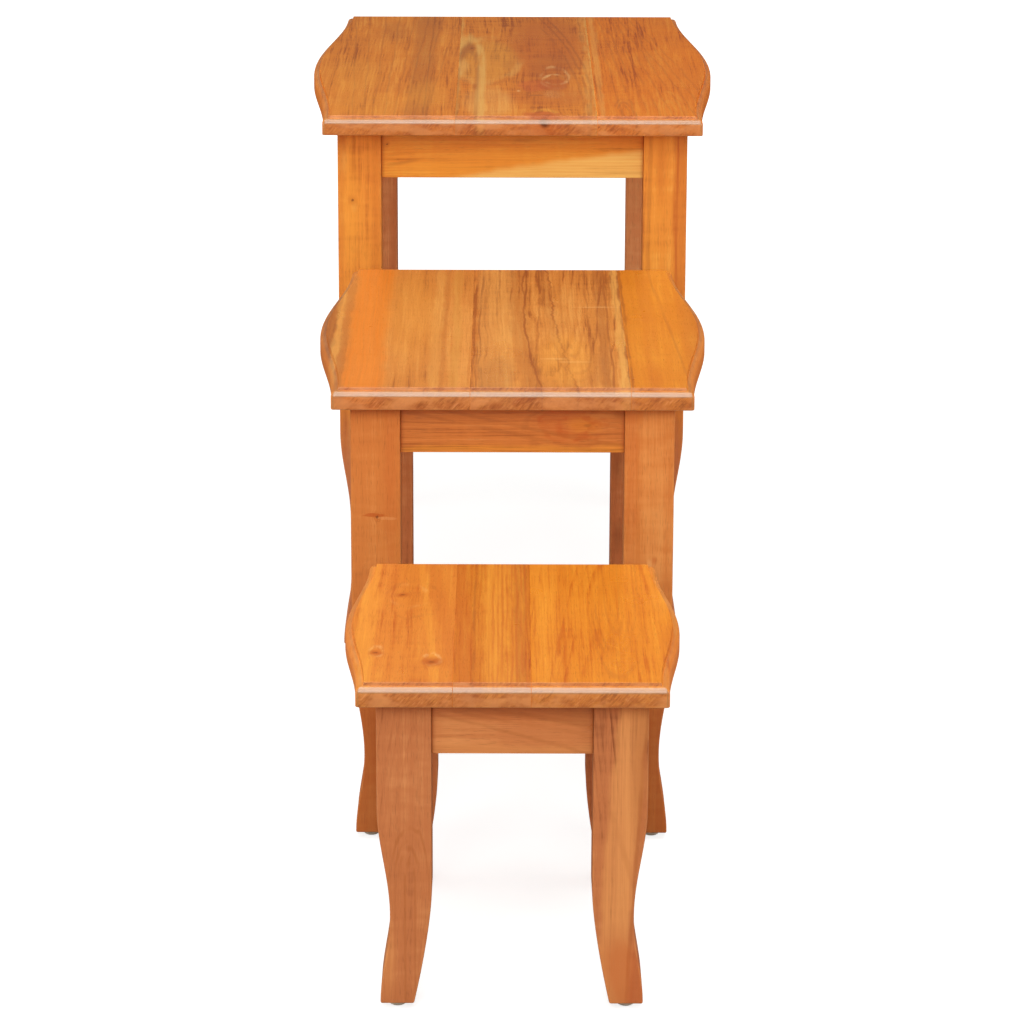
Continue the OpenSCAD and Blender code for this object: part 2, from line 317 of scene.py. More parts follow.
def apron_mesh(low, high, along_y):
    """A board with a tenon at each end, its box given with the tenons."""
    def place(along, across, z):
        return (across, along, z) if along_y else (along, across, z)
    along_low, along_high = (low.y, high.y) if along_y else (low.x, high.x)
    across_low, across_high = (low.x, high.x) if along_y else (low.y, high.y)
    middle = (across_low + across_high) / 2

    def ring(mesh, along, first, second, bottom, top):
        return [mesh.verts.new(place(along, first, bottom)), mesh.verts.new(place(along, second, bottom)),
                mesh.verts.new(place(along, second, top)), mesh.verts.new(place(along, first, top))]
    mesh = bmesh.new()
    stations = []
    for end, inner in ((along_low, along_low + TENON_L), (along_high, along_high - TENON_L)):
        tenon = (middle - TENON_T / 2, middle + TENON_T / 2, low.z + TENON_BOTTOM, high.z - TENON_TOP)
        stations.append((ring(mesh, inner, across_low, across_high, low.z, high.z),
                         ring(mesh, inner, *tenon), ring(mesh, end, *tenon)))
    for shoulder, root, tip in stations:
        bridge(mesh, shoulder, root)
        bridge(mesh, root, tip)
        mesh.faces.new(tip)
    first, last = [shoulder for shoulder, root, tip in stations]
    bridge(mesh, first, last)
    bmesh.ops.recalc_face_normals(mesh, faces=mesh.faces[:])
    arris = [edge for edge in mesh.edges if all(vert in first + last for vert in edge.verts)]
    bmesh.ops.bevel(mesh, geom=arris, offset=APRON_ROUND, segments=APRON_ROUND_STEPS, affect="EDGES",
                    profile=0.5)
    return mesh


# Making a piece

def mark_edges(data):
    """Gives the points on rounded edges the value 1 and those that bound a wide face 0."""
    worn = [1.0] * len(data.vertices)
    for face in data.polygons:
        places = [data.vertices[index].co for index in face.vertices]
        longest = max((a - b).length for a, b in zip(places, places[1:] + places[:1]))
        if face.area > WIDE_FACE * longest:
            for index in face.vertices:
                worn[index] = 0.0
    attribute = data.attributes.new(EDGE_ATTRIBUTE, "FLOAT", "POINT")
    attribute.data.foreach_set("value", worn)


def make_piece(node, body, mesh, material, cutters=(), origin=None):
    """Puts the mesh in place of the CAD node, its origin in the middle of the node's box if none is given."""
    low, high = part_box(node)
    piece = loose_object(mesh, f"{node}_look")
    if cutters:
        cut_away(piece, cutters)
    centre = origin or (low + high) / 2
    piece.data.transform(Matrix.Translation(-centre))
    piece.location = centre
    mark_edges(piece.data)
    piece.data.polygons.foreach_set("use_smooth", [True] * len(piece.data.polygons))
    piece.data.set_sharp_from_angle(angle=SMOOTH_ANGLE)
    piece.data.materials.clear()
    piece.data.materials.append(material)
    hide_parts(node)
    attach(piece, body)


# Stains, painted shade, end grain and open pores

KNOT_STAIN = srgb(176, 84, 30)
KNOT_CORE = srgb(92, 42, 18)
RUBBED_WOOD = srgb(236, 170, 104)
POOLED_STAIN = srgb(138, 100, 54)
SIDE_PAINTED_SHADE = srgb(240, 132, 38)
TUCKED_PAINTED_SHADE = srgb(150, 76, 36)
END_BROWN = srgb(170, 107, 66)
END_DARK = srgb(156, 84, 46)
END_PALE = srgb(222, 156, 100)
END_FLECK = srgb(118, 60, 32)
OPEN_PORE = (0.05, 0.018, 0.006, 1)

# How far the painted shade reaches in the corner below a top and in those at an apron's shoulders
UNDER_TOP_SHADE_RUN = 11 * MM
SHOULDER_SHADE_RUN = 4 * MM
# How much of each stain, painted shade and wear shows where it is strongest
SIDE_SHADE_SHARE = 0.5
SIDE_SHADE_SHARE_ABOVE_NOSE = 0.4
UNDER_TOP_SHADE_SHARE = 0.45
SHOULDER_SHADE_SHARE = 0.5
RUBBED_SHARE = 0.25
POOLED_SHARE = 0.6
PORE_SHARE = 0.22
LACQUER_ROUGHNESS = 0.3

GRAIN_PARTS = ("Ring", "Band", "Streak", "Fibre", "Pores", "Figure", "Ripple")
ORIGIN = (0.0, 0.0, 0.0)
HALF = (0.5, 0.5, 0.5)


# Node helpers. They add their nodes to the tree that their inputs come from.

def set_inputs(node, inputs):
    """Sets each input to its value, or links it to another node's output."""
    for name, value in inputs.items():
        socket = node.inputs[name]
        if isinstance(value, bpy.types.NodeSocket):
            node.id_data.links.new(value, socket)
        else:
            socket.default_value = value


def tree_of(inputs):
    return next(value.id_data for value in inputs.values() if isinstance(value, bpy.types.NodeSocket))


def add(tree, kind, inputs=None, **settings):
    node = tree.nodes.new(f"ShaderNode{kind}")
    for name, value in settings.items():
        setattr(node, name, value)
    set_inputs(node, inputs or {})
    return node


def calc(operation, first, second=0.0, third=0.0, clamp=False):
    inputs = {0: first, 1: second, 2: third}
    return add(tree_of(inputs), "Math", inputs, operation=operation, use_clamp=clamp).outputs[0]


def plus(first, second):
    return calc("ADD", first, second)


def minus(first, second):
    return calc("SUBTRACT", first, second)


def times(first, second):
    return calc("MULTIPLY", first, second)


def over(first, second):
    return calc("DIVIDE", first, second)


def times_plus(first, second, third, clamp=False):
    return calc("MULTIPLY_ADD", first, second, third, clamp)


def unsigned(value):
    return calc("ABSOLUTE", value)


def vector_calc(operation, first, second=ORIGIN):
    inputs = {0: first, 1: second}
    node = add(tree_of(inputs), "VectorMath", inputs, operation=operation)
    return node.outputs["Value" if operation == "LENGTH" else "Vector"]


def ramp(value, low, high, to_low=0.0, to_high=1.0):
    """Value from low..high spread smoothly over to_low..to_high."""
    inputs = {"Value": value, "From Min": low, "From Max": high, "To Min": to_low, "To Max": to_high}
    return add(tree_of(inputs), "MapRange", inputs, interpolation_type="SMOOTHSTEP").outputs["Result"]


def blend(factor, first, second):
    """Two colours mixed."""
    inputs = {0: factor, 6: first, 7: second}
    return add(tree_of(inputs), "Mix", inputs, data_type="RGBA").outputs[2]


def split(vector):
    return add(vector.id_data, "SeparateXYZ", {0: vector}).outputs


def join(x, y, z):
    inputs = {"X": x, "Y": y, "Z": z}
    return add(tree_of(inputs), "CombineXYZ", inputs).outputs[0]


def noise(position, stretch, seed, detail=2.0, roughness=0.5, colour=False):
    """Noise at stretch cells to the metre along each axis."""
    inputs = {"Vector": vector_calc("MULTIPLY", position, stretch), "W": seed, "Scale": 1.0, "Detail": detail,
              "Roughness": roughness}
    node = add(tree_of(inputs), "TexNoise", inputs, noise_dimensions="4D")
    return node.outputs["Color" if colour else 0]


def shake(position, stretch, seed, amount, detail=2.0):
    """The position pushed about by noise, by amount in each axis."""
    push = vector_calc("SUBTRACT", noise(position, stretch, seed, detail, colour=True), HALF)
    return vector_calc("ADD", position, vector_calc("MULTIPLY", push, amount))


def new_group(name, inputs, outputs):
    """An empty node group with the nodes for its inputs and outputs. A default tells its input's kind."""
    group = bpy.data.node_groups.new(name, "ShaderNodeTree")
    for socket_name, default in inputs.items():
        kind = {3: "Vector", 4: "Color"}[len(default)] if isinstance(default, tuple) else "Float"
        socket = group.interface.new_socket(socket_name, in_out="INPUT", socket_type=f"NodeSocket{kind}")
        socket.default_value = default
    for socket_name in outputs:
        kind = "Color" if socket_name == "Color" else "Float"
        group.interface.new_socket(socket_name, in_out="OUTPUT", socket_type=f"NodeSocket{kind}")
    return group, group.nodes.new("NodeGroupInput").outputs, group.nodes.new("NodeGroupOutput")


def use_group(group, inputs):
    node = tree_of(inputs).nodes.new("ShaderNodeGroup")
    node.node_tree = group
    set_inputs(node, inputs)
    return node.outputs


# Shared effects

def timber_group():
    """The grain of a board that runs along Z: rings, bands, streaks, fibres and the figure across them."""
    group, given, result = new_group(
        "Timber",
        {"Position": ORIGIN, "Pith": (0.1, 0.02, 0), "Taper": 0.0, "Dip": 0.0, "Ring width": 0.004,
         "Waviness": 0.01, "Shift": 0.0, "Seed": 0.0},
        GRAIN_PARTS)
    position = given["Position"]
    seed = given["Seed"]
    broad = vector_calc("SUBTRACT", noise(position, (8, 8, 3), seed, colour=True), HALF)
    broad = add(group, "VectorMath", {0: broad, "Scale": given["Waviness"]}, operation="SCALE").outputs[0]
    bent = vector_calc("ADD", position, broad)
    bent = shake(bent, (60, 60, 14), plus(seed, 7.3), (0.0035, 0.0035, 0), 3.0)
    pushed = split(bent)
    bent = join(plus(pushed["X"], given["Shift"]), pushed["Y"], pushed["Z"])
    away = split(vector_calc("SUBTRACT", bent, given["Pith"]))
    across = minus(away["X"], times(away["Z"], given["Taper"]))
    deep = minus(away["Y"], times(away["Z"], given["Dip"]))
    squared = times_plus(across, across, times(deep, deep))
    phase = over(calc("SQRT", squared), given["Ring width"])
    part = calc("FRACT", phase)
    late = times(ramp(part, 0.3, 0.85), ramp(part, 0.85, 1.0, 1.0, 0.0))
    which = plus(calc("FLOOR", phase), seed)
    lottery = add(group, "TexWhiteNoise", {"W": which}, noise_dimensions="1D").outputs["Value"]
    fading = ramp(noise(position, (30, 30, 9), plus(seed, 2.6)), 0.38, 0.62)
    pores = noise(bent, (2600, 2600, 120), plus(seed, 9.9), 1.0)
    set_inputs(result, {
        "Ring": times(times(late, lottery), fading),
        "Band": noise(bent, (24, 24, 1.6), plus(seed, 3.1), 3.0, 0.6),
        "Streak": noise(bent, (150, 150, 2.5), plus(seed, 4.4), 4.0, 0.65),
        "Fibre": noise(bent, (620, 620, 7), plus(seed, 5.7), 3.0, 0.7),
        "Pores": ramp(pores, 0.58, 0.70),
        "Figure": noise(position, (14, 14, 9), plus(seed, 1.9), 3.0),
        "Ripple": noise(position, (34, 34, 130), plus(seed, 8.2))})
    return group


def knot_group():
    """A knot: how far it pushes the grain aside, its dark core and the stain round it."""
    group, given, result = new_group(
        "Knot", {"Position": ORIGIN, "Centre": ORIGIN, "Size": 0.006, "Stretch": 1.5},
        ("Push", "Core", "Stain"))
    rough = shake(given["Position"], (170, 170, 90), 2.2, (0.005, 0.005, 0.008), 3.0)
    parts = split(vector_calc("SUBTRACT", rough, given["Centre"]))
    flat = join(parts["X"], parts["Y"], over(parts["Z"], given["Stretch"]))
    reach = over(vector_calc("LENGTH", flat), given["Size"])
    fall = calc("EXPONENT", times(times(reach, reach), -0.12))
    side = ramp(over(parts["X"], given["Size"]), -1.0, 1.0, -1.0, 1.0)
    push = times(times(fall, side), given["Size"])
    set_inputs(result, {"Push": times(push, -1.5), "Core": ramp(reach, 0.2, 1.0, 1.0, 0.0),
                        "Stain": ramp(reach, 0.5, 3.6, 1.0, 0.0)})
    return group


def streak_group():
    """A band that runs with the grain, straight or bent, with wandering edges."""
    group, given, result = new_group(
        "Streak",
        {"Position": ORIGIN, "Place": 0.0, "Slant": 0.0, "Bend": 0.0, "Half width": 0.004, "Softness": 0.002,
         "Wander": 0.006, "Kinks": 0.0, "Gaps": 0.0, "Seed": 0.0},
        ("Mask",))
    position = given["Position"]
    seed = given["Seed"]
    parts = split(position)
    slow = minus(noise(position, (1, 1, 11), seed, 1.0), 0.5)
    quick = minus(noise(position, (6, 6, 60), seed, 2.0, 0.6), 0.5)
    wander = times(times_plus(quick, given["Kinks"], slow), given["Wander"])
    line = times_plus(times_plus(parts["Z"], given["Bend"], given["Slant"]), parts["Z"], given["Place"])
    away = unsigned(plus(minus(parts["X"], line), wander))
    swell = ramp(noise(position, (3, 3, 30), plus(seed, 5.0)), 0.35, 0.65, -0.65, 0.4)
    swell = times(calc("MINIMUM", given["Half width"], 0.0025), swell)
    edge = over(minus(away, plus(given["Half width"], swell)), given["Softness"])
    fading = noise(position, (9, 9, 20), plus(seed, 9.0))
    fading = ramp(fading, 0.34, 0.5, minus(1.0, given["Gaps"]), 1.0)
    set_inputs(result, {"Mask": times(ramp(edge, 0.0, 1.0, 1.0, 0.0), fading)})
    return group


def loop_group():
    """An oval in the grain, or an arch where one end is open: the band along its rim and what it holds."""
    group, given, result = new_group(
        "Loop",
        {"Position": ORIGIN, "Centre": ORIGIN, "Across": 0.02, "Along": 0.08, "Open": 0.0, "Slant": 0.0,
         "Half width": 0.002, "Softness": 0.002, "Wander": 0.2, "Seed": 0.0},
        ("Rim", "Inside"))
    parts = split(vector_calc("SUBTRACT", given["Position"], given["Centre"]))
    along = over(parts["Z"], given["Along"])
    along = calc("MAXIMUM", along, times(along, minus(1.0, given["Open"])))
    leaning = times(times(along, given["Along"]), given["Slant"])
    across = over(minus(parts["X"], leaning), given["Across"])
    reach = calc("SQRT", times_plus(across, across, times(along, along)))
    own_scale = join(across, 0.0, along)
    rough = minus(noise(own_scale, (1.1, 1.0, 1.1), given["Seed"], 3.0, 0.6), 0.5)
    reach = times_plus(rough, given["Wander"], reach)
    away = times(minus(reach, 1.0), given["Across"])
    rim = over(minus(unsigned(away), given["Half width"]), given["Softness"])
    inside = over(away, given["Softness"])
    fading = noise(own_scale, (1.2, 1.0, 1.2), plus(given["Seed"], 3.0))
    rim = times(ramp(rim, 0.0, 1.0, 1.0, 0.0), ramp(fading, 0.4, 0.6, 0.0, 1.0))
    set_inputs(result, {"Rim": rim, "Inside": ramp(inside, -1.0, 0.5, 1.0, 0.0)})
    return group


def stain_group():
    """Wood colour from the grain: light, middle and dark wood, with its fibres, ripples and open pores."""
    group, given, result = new_group(
        "Wood colour",
        {"Light": (0.8, 0.4, 0.1, 1), "Middle": (0.6, 0.2, 0.05, 1), "Dark": (0.3, 0.1, 0.03, 1), "Ring": 0.0,
         "Rings": 0.4, "Band": 0.5, "Bands": 0.6, "Streak": 0.5, "Streaks": 0.6, "Fibre": 0.5, "Fibres": 0.4,
         "Figure": 0.5, "Ripple": 0.5, "Ripples": 0.3, "Pores": 0.0},
        ("Color",))
    tone = times_plus(given["Ring"], given["Rings"], 0.46)
    for part in ("Band", "Streak", "Fibre", "Ripple"):
        tone = times_plus(times(minus(given[part], 0.5), 2.6), given[f"{part}s"], tone)
    tone = times_plus(minus(given["Figure"], 0.5), 0.7, tone)
    pale = blend(ramp(tone, 0.05, 0.5), given["Light"], given["Middle"])
    colour = blend(ramp(tone, 0.5, 1.0), pale, given["Dark"])
    set_inputs(result, {"Color": blend(times(given["Pores"], PORE_SHARE), colour, OPEN_PORE)})
    return group


def end_grain_group():
    """Sawn ends: browner, flecked aslant and mottled."""
    group, given, result = new_group(
        "End grain", {"Position": ORIGIN, "Color": (0.6, 0.2, 0.05, 1), "Seed": 0.0}, ("Color",))
    position = given["Position"]
    seed = given["Seed"]
    parts = split(position)
    uphill = times_plus(parts["Y"], 0.75, times(parts["X"], 0.66))
    downhill = times_plus(parts["X"], 0.75, times(parts["Y"], -0.66))
    flecks = noise(join(uphill, downhill, parts["Z"]), (120, 640, 30), seed, 3.0, 0.65)
    patches = noise(position, (45, 90, 10), plus(seed, 3.0), 3.0)
    hatched = ramp(patches, 0.42, 0.6, 0.15, 1.0)
    dark = times(ramp(flecks, 0.5, 0.64, 0.0, 0.5), hatched)
    pale = times(ramp(flecks, 0.48, 0.3, 0.0, 0.45), hatched)
    blotches = noise(position, (70, 160, 10), plus(seed, 8.0), 3.0, 0.6)
    brown = blend(0.6, given["Color"], END_BROWN)
    brown = blend(ramp(blotches, 0.42, 0.64, 0.0, 0.5), brown, END_DARK)
    brown = blend(ramp(patches, 0.56, 0.38, 0.0, 0.4), brown, END_PALE)
    brown = blend(dark, brown, END_FLECK)
    set_inputs(result, {"Color": blend(pale, brown, END_PALE)})
    return group


def lacquer_group():
    """Roughness and height of brushed lacquer over the grain, with sags, dust and rubbed places."""
    group, given, result = new_group(
        "Lacquer",
        {"Position": ORIGIN, "Fibre": 0.5, "Pores": 0.0, "Roughness": 0.3, "Rubbed": 0.0, "Seed": 0.0},
        ("Roughness", "Height"))
    worn = noise(given["Position"], (18, 18, 11), given["Seed"], 3.0, 0.6)
    dust = noise(given["Position"], (900, 900, 900), given["Seed"], 1.0)
    rough = times_plus(minus(worn, 0.5), 0.2, given["Roughness"])
    rough = times_plus(ramp(dust, 0.66, 0.74), 0.12, rough)
    rough = times_plus(given["Rubbed"], 0.1, rough)
    rough = times_plus(given["Pores"], 0.1, rough, clamp=True)
    sag = noise(given["Position"], (30, 30, 14), plus(given["Seed"], 4.0), 1.0)
    height = times_plus(given["Fibre"], 0.16, times(sag, 1.2))
    height = minus(height, times(given["Pores"], 0.2))
    set_inputs(result, {"Roughness": rough, "Height": height})
    return group


def edge_wear_group():
    """Where hands and cloths have rubbed the stain thin along the edges."""
    group, given, result = new_group("Edge wear", {"Position": ORIGIN, "Edge": 0.0, "Seed": 0.0}, ("Rubbed",))
    broken = noise(given["Position"], (120, 120, 60), given["Seed"], 3.0, 0.6)
    long = noise(given["Position"], (9, 9, 9), plus(given["Seed"], 6.0))
    patches = times(ramp(broken, 0.36, 0.6), ramp(long, 0.36, 0.6, 0.35, 1.0))
    set_inputs(result, {"Rubbed": times(patches, given["Edge"])})
    return group


TIMBER = timber_group()
KNOT = knot_group()
STREAK = streak_group()
LOOP = loop_group()
STAIN = stain_group()
END_GRAIN = end_grain_group()
LACQUER = lacquer_group()
EDGE_WEAR = edge_wear_group()

# Which of the piece's own axes stand for across, depth and along the grain
GRAIN_ALONG = {"Y": ("X", "Z", "Y"), "Z": ("X", "Y", "Z"), "X": ("Z", "Y", "X")}
# Each mark in a piece has the seed of the wood and this much more than the mark before it
SEED_STEP = 1.7


# Marks in the wood, in millimetres across and along the piece

def knot(across, along, size, stretch=1.4, depth=None, core=0.8, stain=0.35):
    return dict(group=KNOT, centre=(across, along), depth=depth, core=core, stain=stain,
                inputs={"Size": size * MM, "Stretch": stretch})


def streak(across, width, tone, strength, slant=0.0, bend=0.0, soft=2.0, wander=6.0, kinks=0.0, gaps=0.0):
    return dict(group=STREAK, shown="Mask", tone=tone, strength=strength, centre=None,
                inputs={"Place": across * MM, "Slant": slant, "Bend": bend, "Half width": width / 2 * MM,
                        "Softness": soft * MM, "Wander": wander * MM, "Kinks": kinks, "Gaps": gaps})


def loop(across, along, reach_across, reach_along, width, tone, strength, slant=0.0, soft=2.0, wander=0.25,
         opened=0.0, shown="Rim"):
    return dict(group=LOOP, shown=shown, tone=tone, strength=strength, centre=(across, along),
                inputs={"Across": reach_across * MM, "Along": reach_along * MM, "Open": opened,
                        "Slant": slant, "Half width": width / 2 * MM, "Softness": soft * MM,
                        "Wander": wander})


def patch(across, along, reach_across, reach_along, tone, strength, slant=0.0, soft=6.0, wander=0.5):
    width = 2
    return loop(across, along, reach_across, reach_along, width, tone, strength, slant, soft, wander,
                shown="Inside")


def arches(across, along, reach_across, reach_along, count, tone, strength, slant=0.0, width=0.5,
           wander=0.35):
    """Nested arches of a flat-sawn board. The reach along is below zero where they point to the near end."""
    shares = [(i + 1) / count for i in range(count)]
    return tuple(loop(across, along, reach_across * share, reach_along * share ** 0.7, width, tone, strength,
                      slant=slant, soft=0.9, wander=wander, opened=1.0) for share in shares)


def paint_marks(position, marks, depth, colour, fibre, seed):
    """Lays the streaks, loops and patches over the wood's colour."""
    grainy = ramp(fibre, 0.3, 0.7, 1.0, 0.55)
    for number, mark in enumerate(marks):
        if mark["group"] == KNOT:
            continue
        inputs = {"Position": position, "Seed": seed + SEED_STEP * number, **mark["inputs"]}
        if mark["centre"]:
            across, along = mark["centre"]
            inputs["Centre"] = (across * MM, depth, along * MM)
        shown = use_group(mark["group"], inputs)[mark["shown"]]
        colour = blend(times(times(shown, grainy), mark["strength"]), colour, mark["tone"])
    return colour


def place_knots(position, marks, depth):
    """The knots among the marks with their nodes, and how far they push the grain aside."""
    shift = 0.0
    knots = []
    for mark in marks:
        if mark["group"] == KNOT:
            across, along = mark["centre"]
            deep = depth if mark["depth"] is None else mark["depth"] * MM
            made = use_group(KNOT, {"Position": position, "Centre": (across * MM, deep, along * MM),
                                    **mark["inputs"]})
            shift = plus(made["Push"], shift)
            knots.append((mark, made))
    return knots, shift


def new_material(name):
    """A material, its node tree and its shader."""
    material = bpy.data.materials.new(name)
    material.use_nodes = True
    return material, material.node_tree, material.node_tree.nodes["Principled BSDF"]


def wood_colour(grain, wood, strengths):
    """The stained colour of the grain, where wood is (light, middle, dark)."""
    tones = dict(zip(("Light", "Middle", "Dark"), wood))
    parts = {part: grain[part] for part in GRAIN_PARTS}
    return use_group(STAIN, {**tones, **parts, **strengths})["Color"]


def wood_material(name, axis, wood, pith=(60, -50), taper=0.02, dip=0.0, ring_width=4.2, waviness=12,
                  seed=0.0, rings=0.35, bands=0.5, streaks=0.4, fibres=0.35, ripples=0.12, marks=(),
                  depth=0.0, polish=0.3, side_shade_from=None, side_shade_below=0.0, under=None, shoulders=None):
    """Lacquered wood. wood is (light, middle, dark); the grain runs along axis; the grain's lengths and the
    marks are in millimetres. The others are in metres: depth is where the marks lie, the side faces beyond
    side_shade_from across get painted shade, most of it below side_shade_below, and painted shade darkens the
    corner below the top, at height under, and those at the shoulders."""
    material, tree, shader = new_material(name)
    coordinates = add(tree, "TexCoord").outputs
    own = split(coordinates["Object"])
    across_axis, depth_axis, along_axis = GRAIN_ALONG[axis]
    position = join(own[across_axis], own[depth_axis], own[along_axis])
    knots, shift = place_knots(position, marks, depth)
    grain = use_group(TIMBER, {
        "Position": position, "Pith": (pith[0] * MM, pith[1] * MM, 0), "Taper": taper, "Dip": dip,
        "Ring width": ring_width * MM, "Waviness": waviness * MM, "Shift": shift, "Seed": seed})
    colour = wood_colour(grain, wood, {"Rings": rings, "Bands": bands, "Streaks": streaks, "Fibres": fibres,
                                       "Ripples": ripples})
    colour = paint_marks(position, marks, depth, colour, grain["Fibre"], seed)
    facing = split(coordinates["Normal"])
    endways = unsigned(facing[along_axis])
    sideways = unsigned(facing[across_axis])
    sawn = use_group(END_GRAIN, {"Position": position, "Color": colour, "Seed": seed})["Color"]
    colour = blend(ramp(endways, 0.55, 0.9), colour, sawn)
    for mark, made in knots:
        colour = blend(times(made["Stain"], mark["stain"]), colour, KNOT_STAIN)
        colour = blend(times(made["Core"], mark["core"]), colour, KNOT_CORE)
    edge = add(tree, "Attribute", attribute_name=EDGE_ATTRIBUTE, attribute_type="GEOMETRY").outputs["Fac"]
    rubbed = use_group(EDGE_WEAR, {"Position": position, "Edge": edge, "Seed": seed})["Rubbed"]
    colour = blend(times(rubbed, RUBBED_SHARE), colour, RUBBED_WOOD)
    # Painted shade: a darker orange on the side faces of the moulding, for how light falls on them
    if side_shade_from:
        outside = ramp(unsigned(own[across_axis]), side_shade_from, side_shade_from + 2 * MM, 0.0, SIDE_SHADE_SHARE)
        below = ramp(own[depth_axis], side_shade_below - MM, side_shade_below, 1.0, SIDE_SHADE_SHARE_ABOVE_NOSE)
        colour = blend(times(times(sideways, outside), below), colour, SIDE_PAINTED_SHADE)
    # Painted shade in the corner below the top
    if under:
        tucked_shade = ramp(own["Z"], under - UNDER_TOP_SHADE_RUN, under, 0.0, UNDER_TOP_SHADE_SHARE)
        colour = blend(tucked_shade, colour, TUCKED_PAINTED_SHADE)
    # Painted shade in the corners at the apron's shoulders
    if shoulders:
        tucked_shade = ramp(unsigned(own[along_axis]), shoulders - SHOULDER_SHADE_RUN, shoulders, 0.0, SHOULDER_SHADE_SHARE)
        colour = blend(tucked_shade, colour, TUCKED_PAINTED_SHADE)
    finish = use_group(LACQUER, {"Position": position, "Fibre": grain["Fibre"], "Pores": grain["Pores"],
                                 "Roughness": LACQUER_ROUGHNESS, "Rubbed": rubbed, "Seed": seed})
    bump = add(tree, "Bump", {"Strength": 0.5, "Distance": 0.0003, "Height": finish["Height"]})
    dull = times_plus(sideways, 0.3, finish["Roughness"], clamp=True)
    glossy = times(times(times_plus(sideways, -0.85, 1.0), edge), polish)
    pooled = times(glossy, ramp(endways, 0.15, 0.5, 0.0, POOLED_SHARE))
    colour = blend(pooled, colour, POOLED_STAIN)
    set_inputs(shader, {"Base Color": colour, "Roughness": dull, "Normal": bump.outputs["Normal"],
                        "Coat Weight": glossy, "IOR": 1.45, "Specular IOR Level": 0.3, "Coat Roughness": 0.2,
                        "Coat IOR": 1.64})
    return material


# Tones of the marks

SAPWOOD = srgb(232, 172, 88)
STRAW = srgb(240, 186, 104)
SAP_PALE = srgb(244, 197, 110)
FADED_GOLD = srgb(214, 146, 86)
OLIVE = srgb(204, 142, 62)
REDDISH = srgb(186, 88, 36)
RED_SPOT = srgb(206, 96, 44)
# Painted shade on the lower parts of the large table's front legs
LOW_PAINTED_SHADE_ROSE = srgb(187, 116, 98)
# Painted shade on the lower parts of the middle table's front legs; a rust tone of the wood on the small
# table's right foot
LOW_SHADE_AND_RUST_TONE = srgb(172, 84, 42)
BROWN = srgb(158, 88, 42)
DARK_LINE = srgb(150, 76, 34)
DEEP_ORANGE = srgb(232, 124, 28)
GOLD = srgb(238, 160, 60)
CRACK = srgb(136, 68, 30)
PALE = srgb(244, 190, 122)

# Woods as light, middle and dark
CHESTNUT = (srgb(236, 149, 57), srgb(221, 127, 41), srgb(168, 84, 27))
HONEY = (srgb(224, 150, 73), srgb(208, 129, 57), srgb(160, 87, 38))
TANGERINE = (srgb(230, 148, 46), srgb(217, 129, 36), srgb(194, 99, 26))
RUSSET = (srgb(238, 141, 42), srgb(226, 121, 28), srgb(175, 79, 18))
LEG_ORANGE = (srgb(244, 172, 78), srgb(229, 144, 57), srgb(186, 97, 38))
LEG_RUST = (srgb(216, 142, 76), srgb(201, 120, 58), srgb(158, 84, 40))
LEG_BROWN = (srgb(202, 134, 84), srgb(184, 112, 68), srgb(136, 74, 42))
SHADED_BROWN = (srgb(220, 146, 94), srgb(200, 118, 72), srgb(150, 80, 48))
# A lighter copy of the rear-leg wood: painted light for a leg that stands in shade
REAR_PAINTED_LIGHT_ROSE = (srgb(240, 176, 120), srgb(228, 148, 96), srgb(184, 108, 66))
SMALL_LEFT_ORANGE = (srgb(225, 146, 58), srgb(214, 127, 49), srgb(186, 92, 32))
SMALL_CENTRE_ORANGE = (srgb(213, 134, 47), srgb(201, 115, 38), srgb(174, 82, 25))
APRON_GOLD = (srgb(242, 171, 70), srgb(229, 143, 53), srgb(184, 99, 36))
APRON_BROWN = (srgb(212, 142, 86), srgb(196, 122, 72), srgb(148, 82, 46))

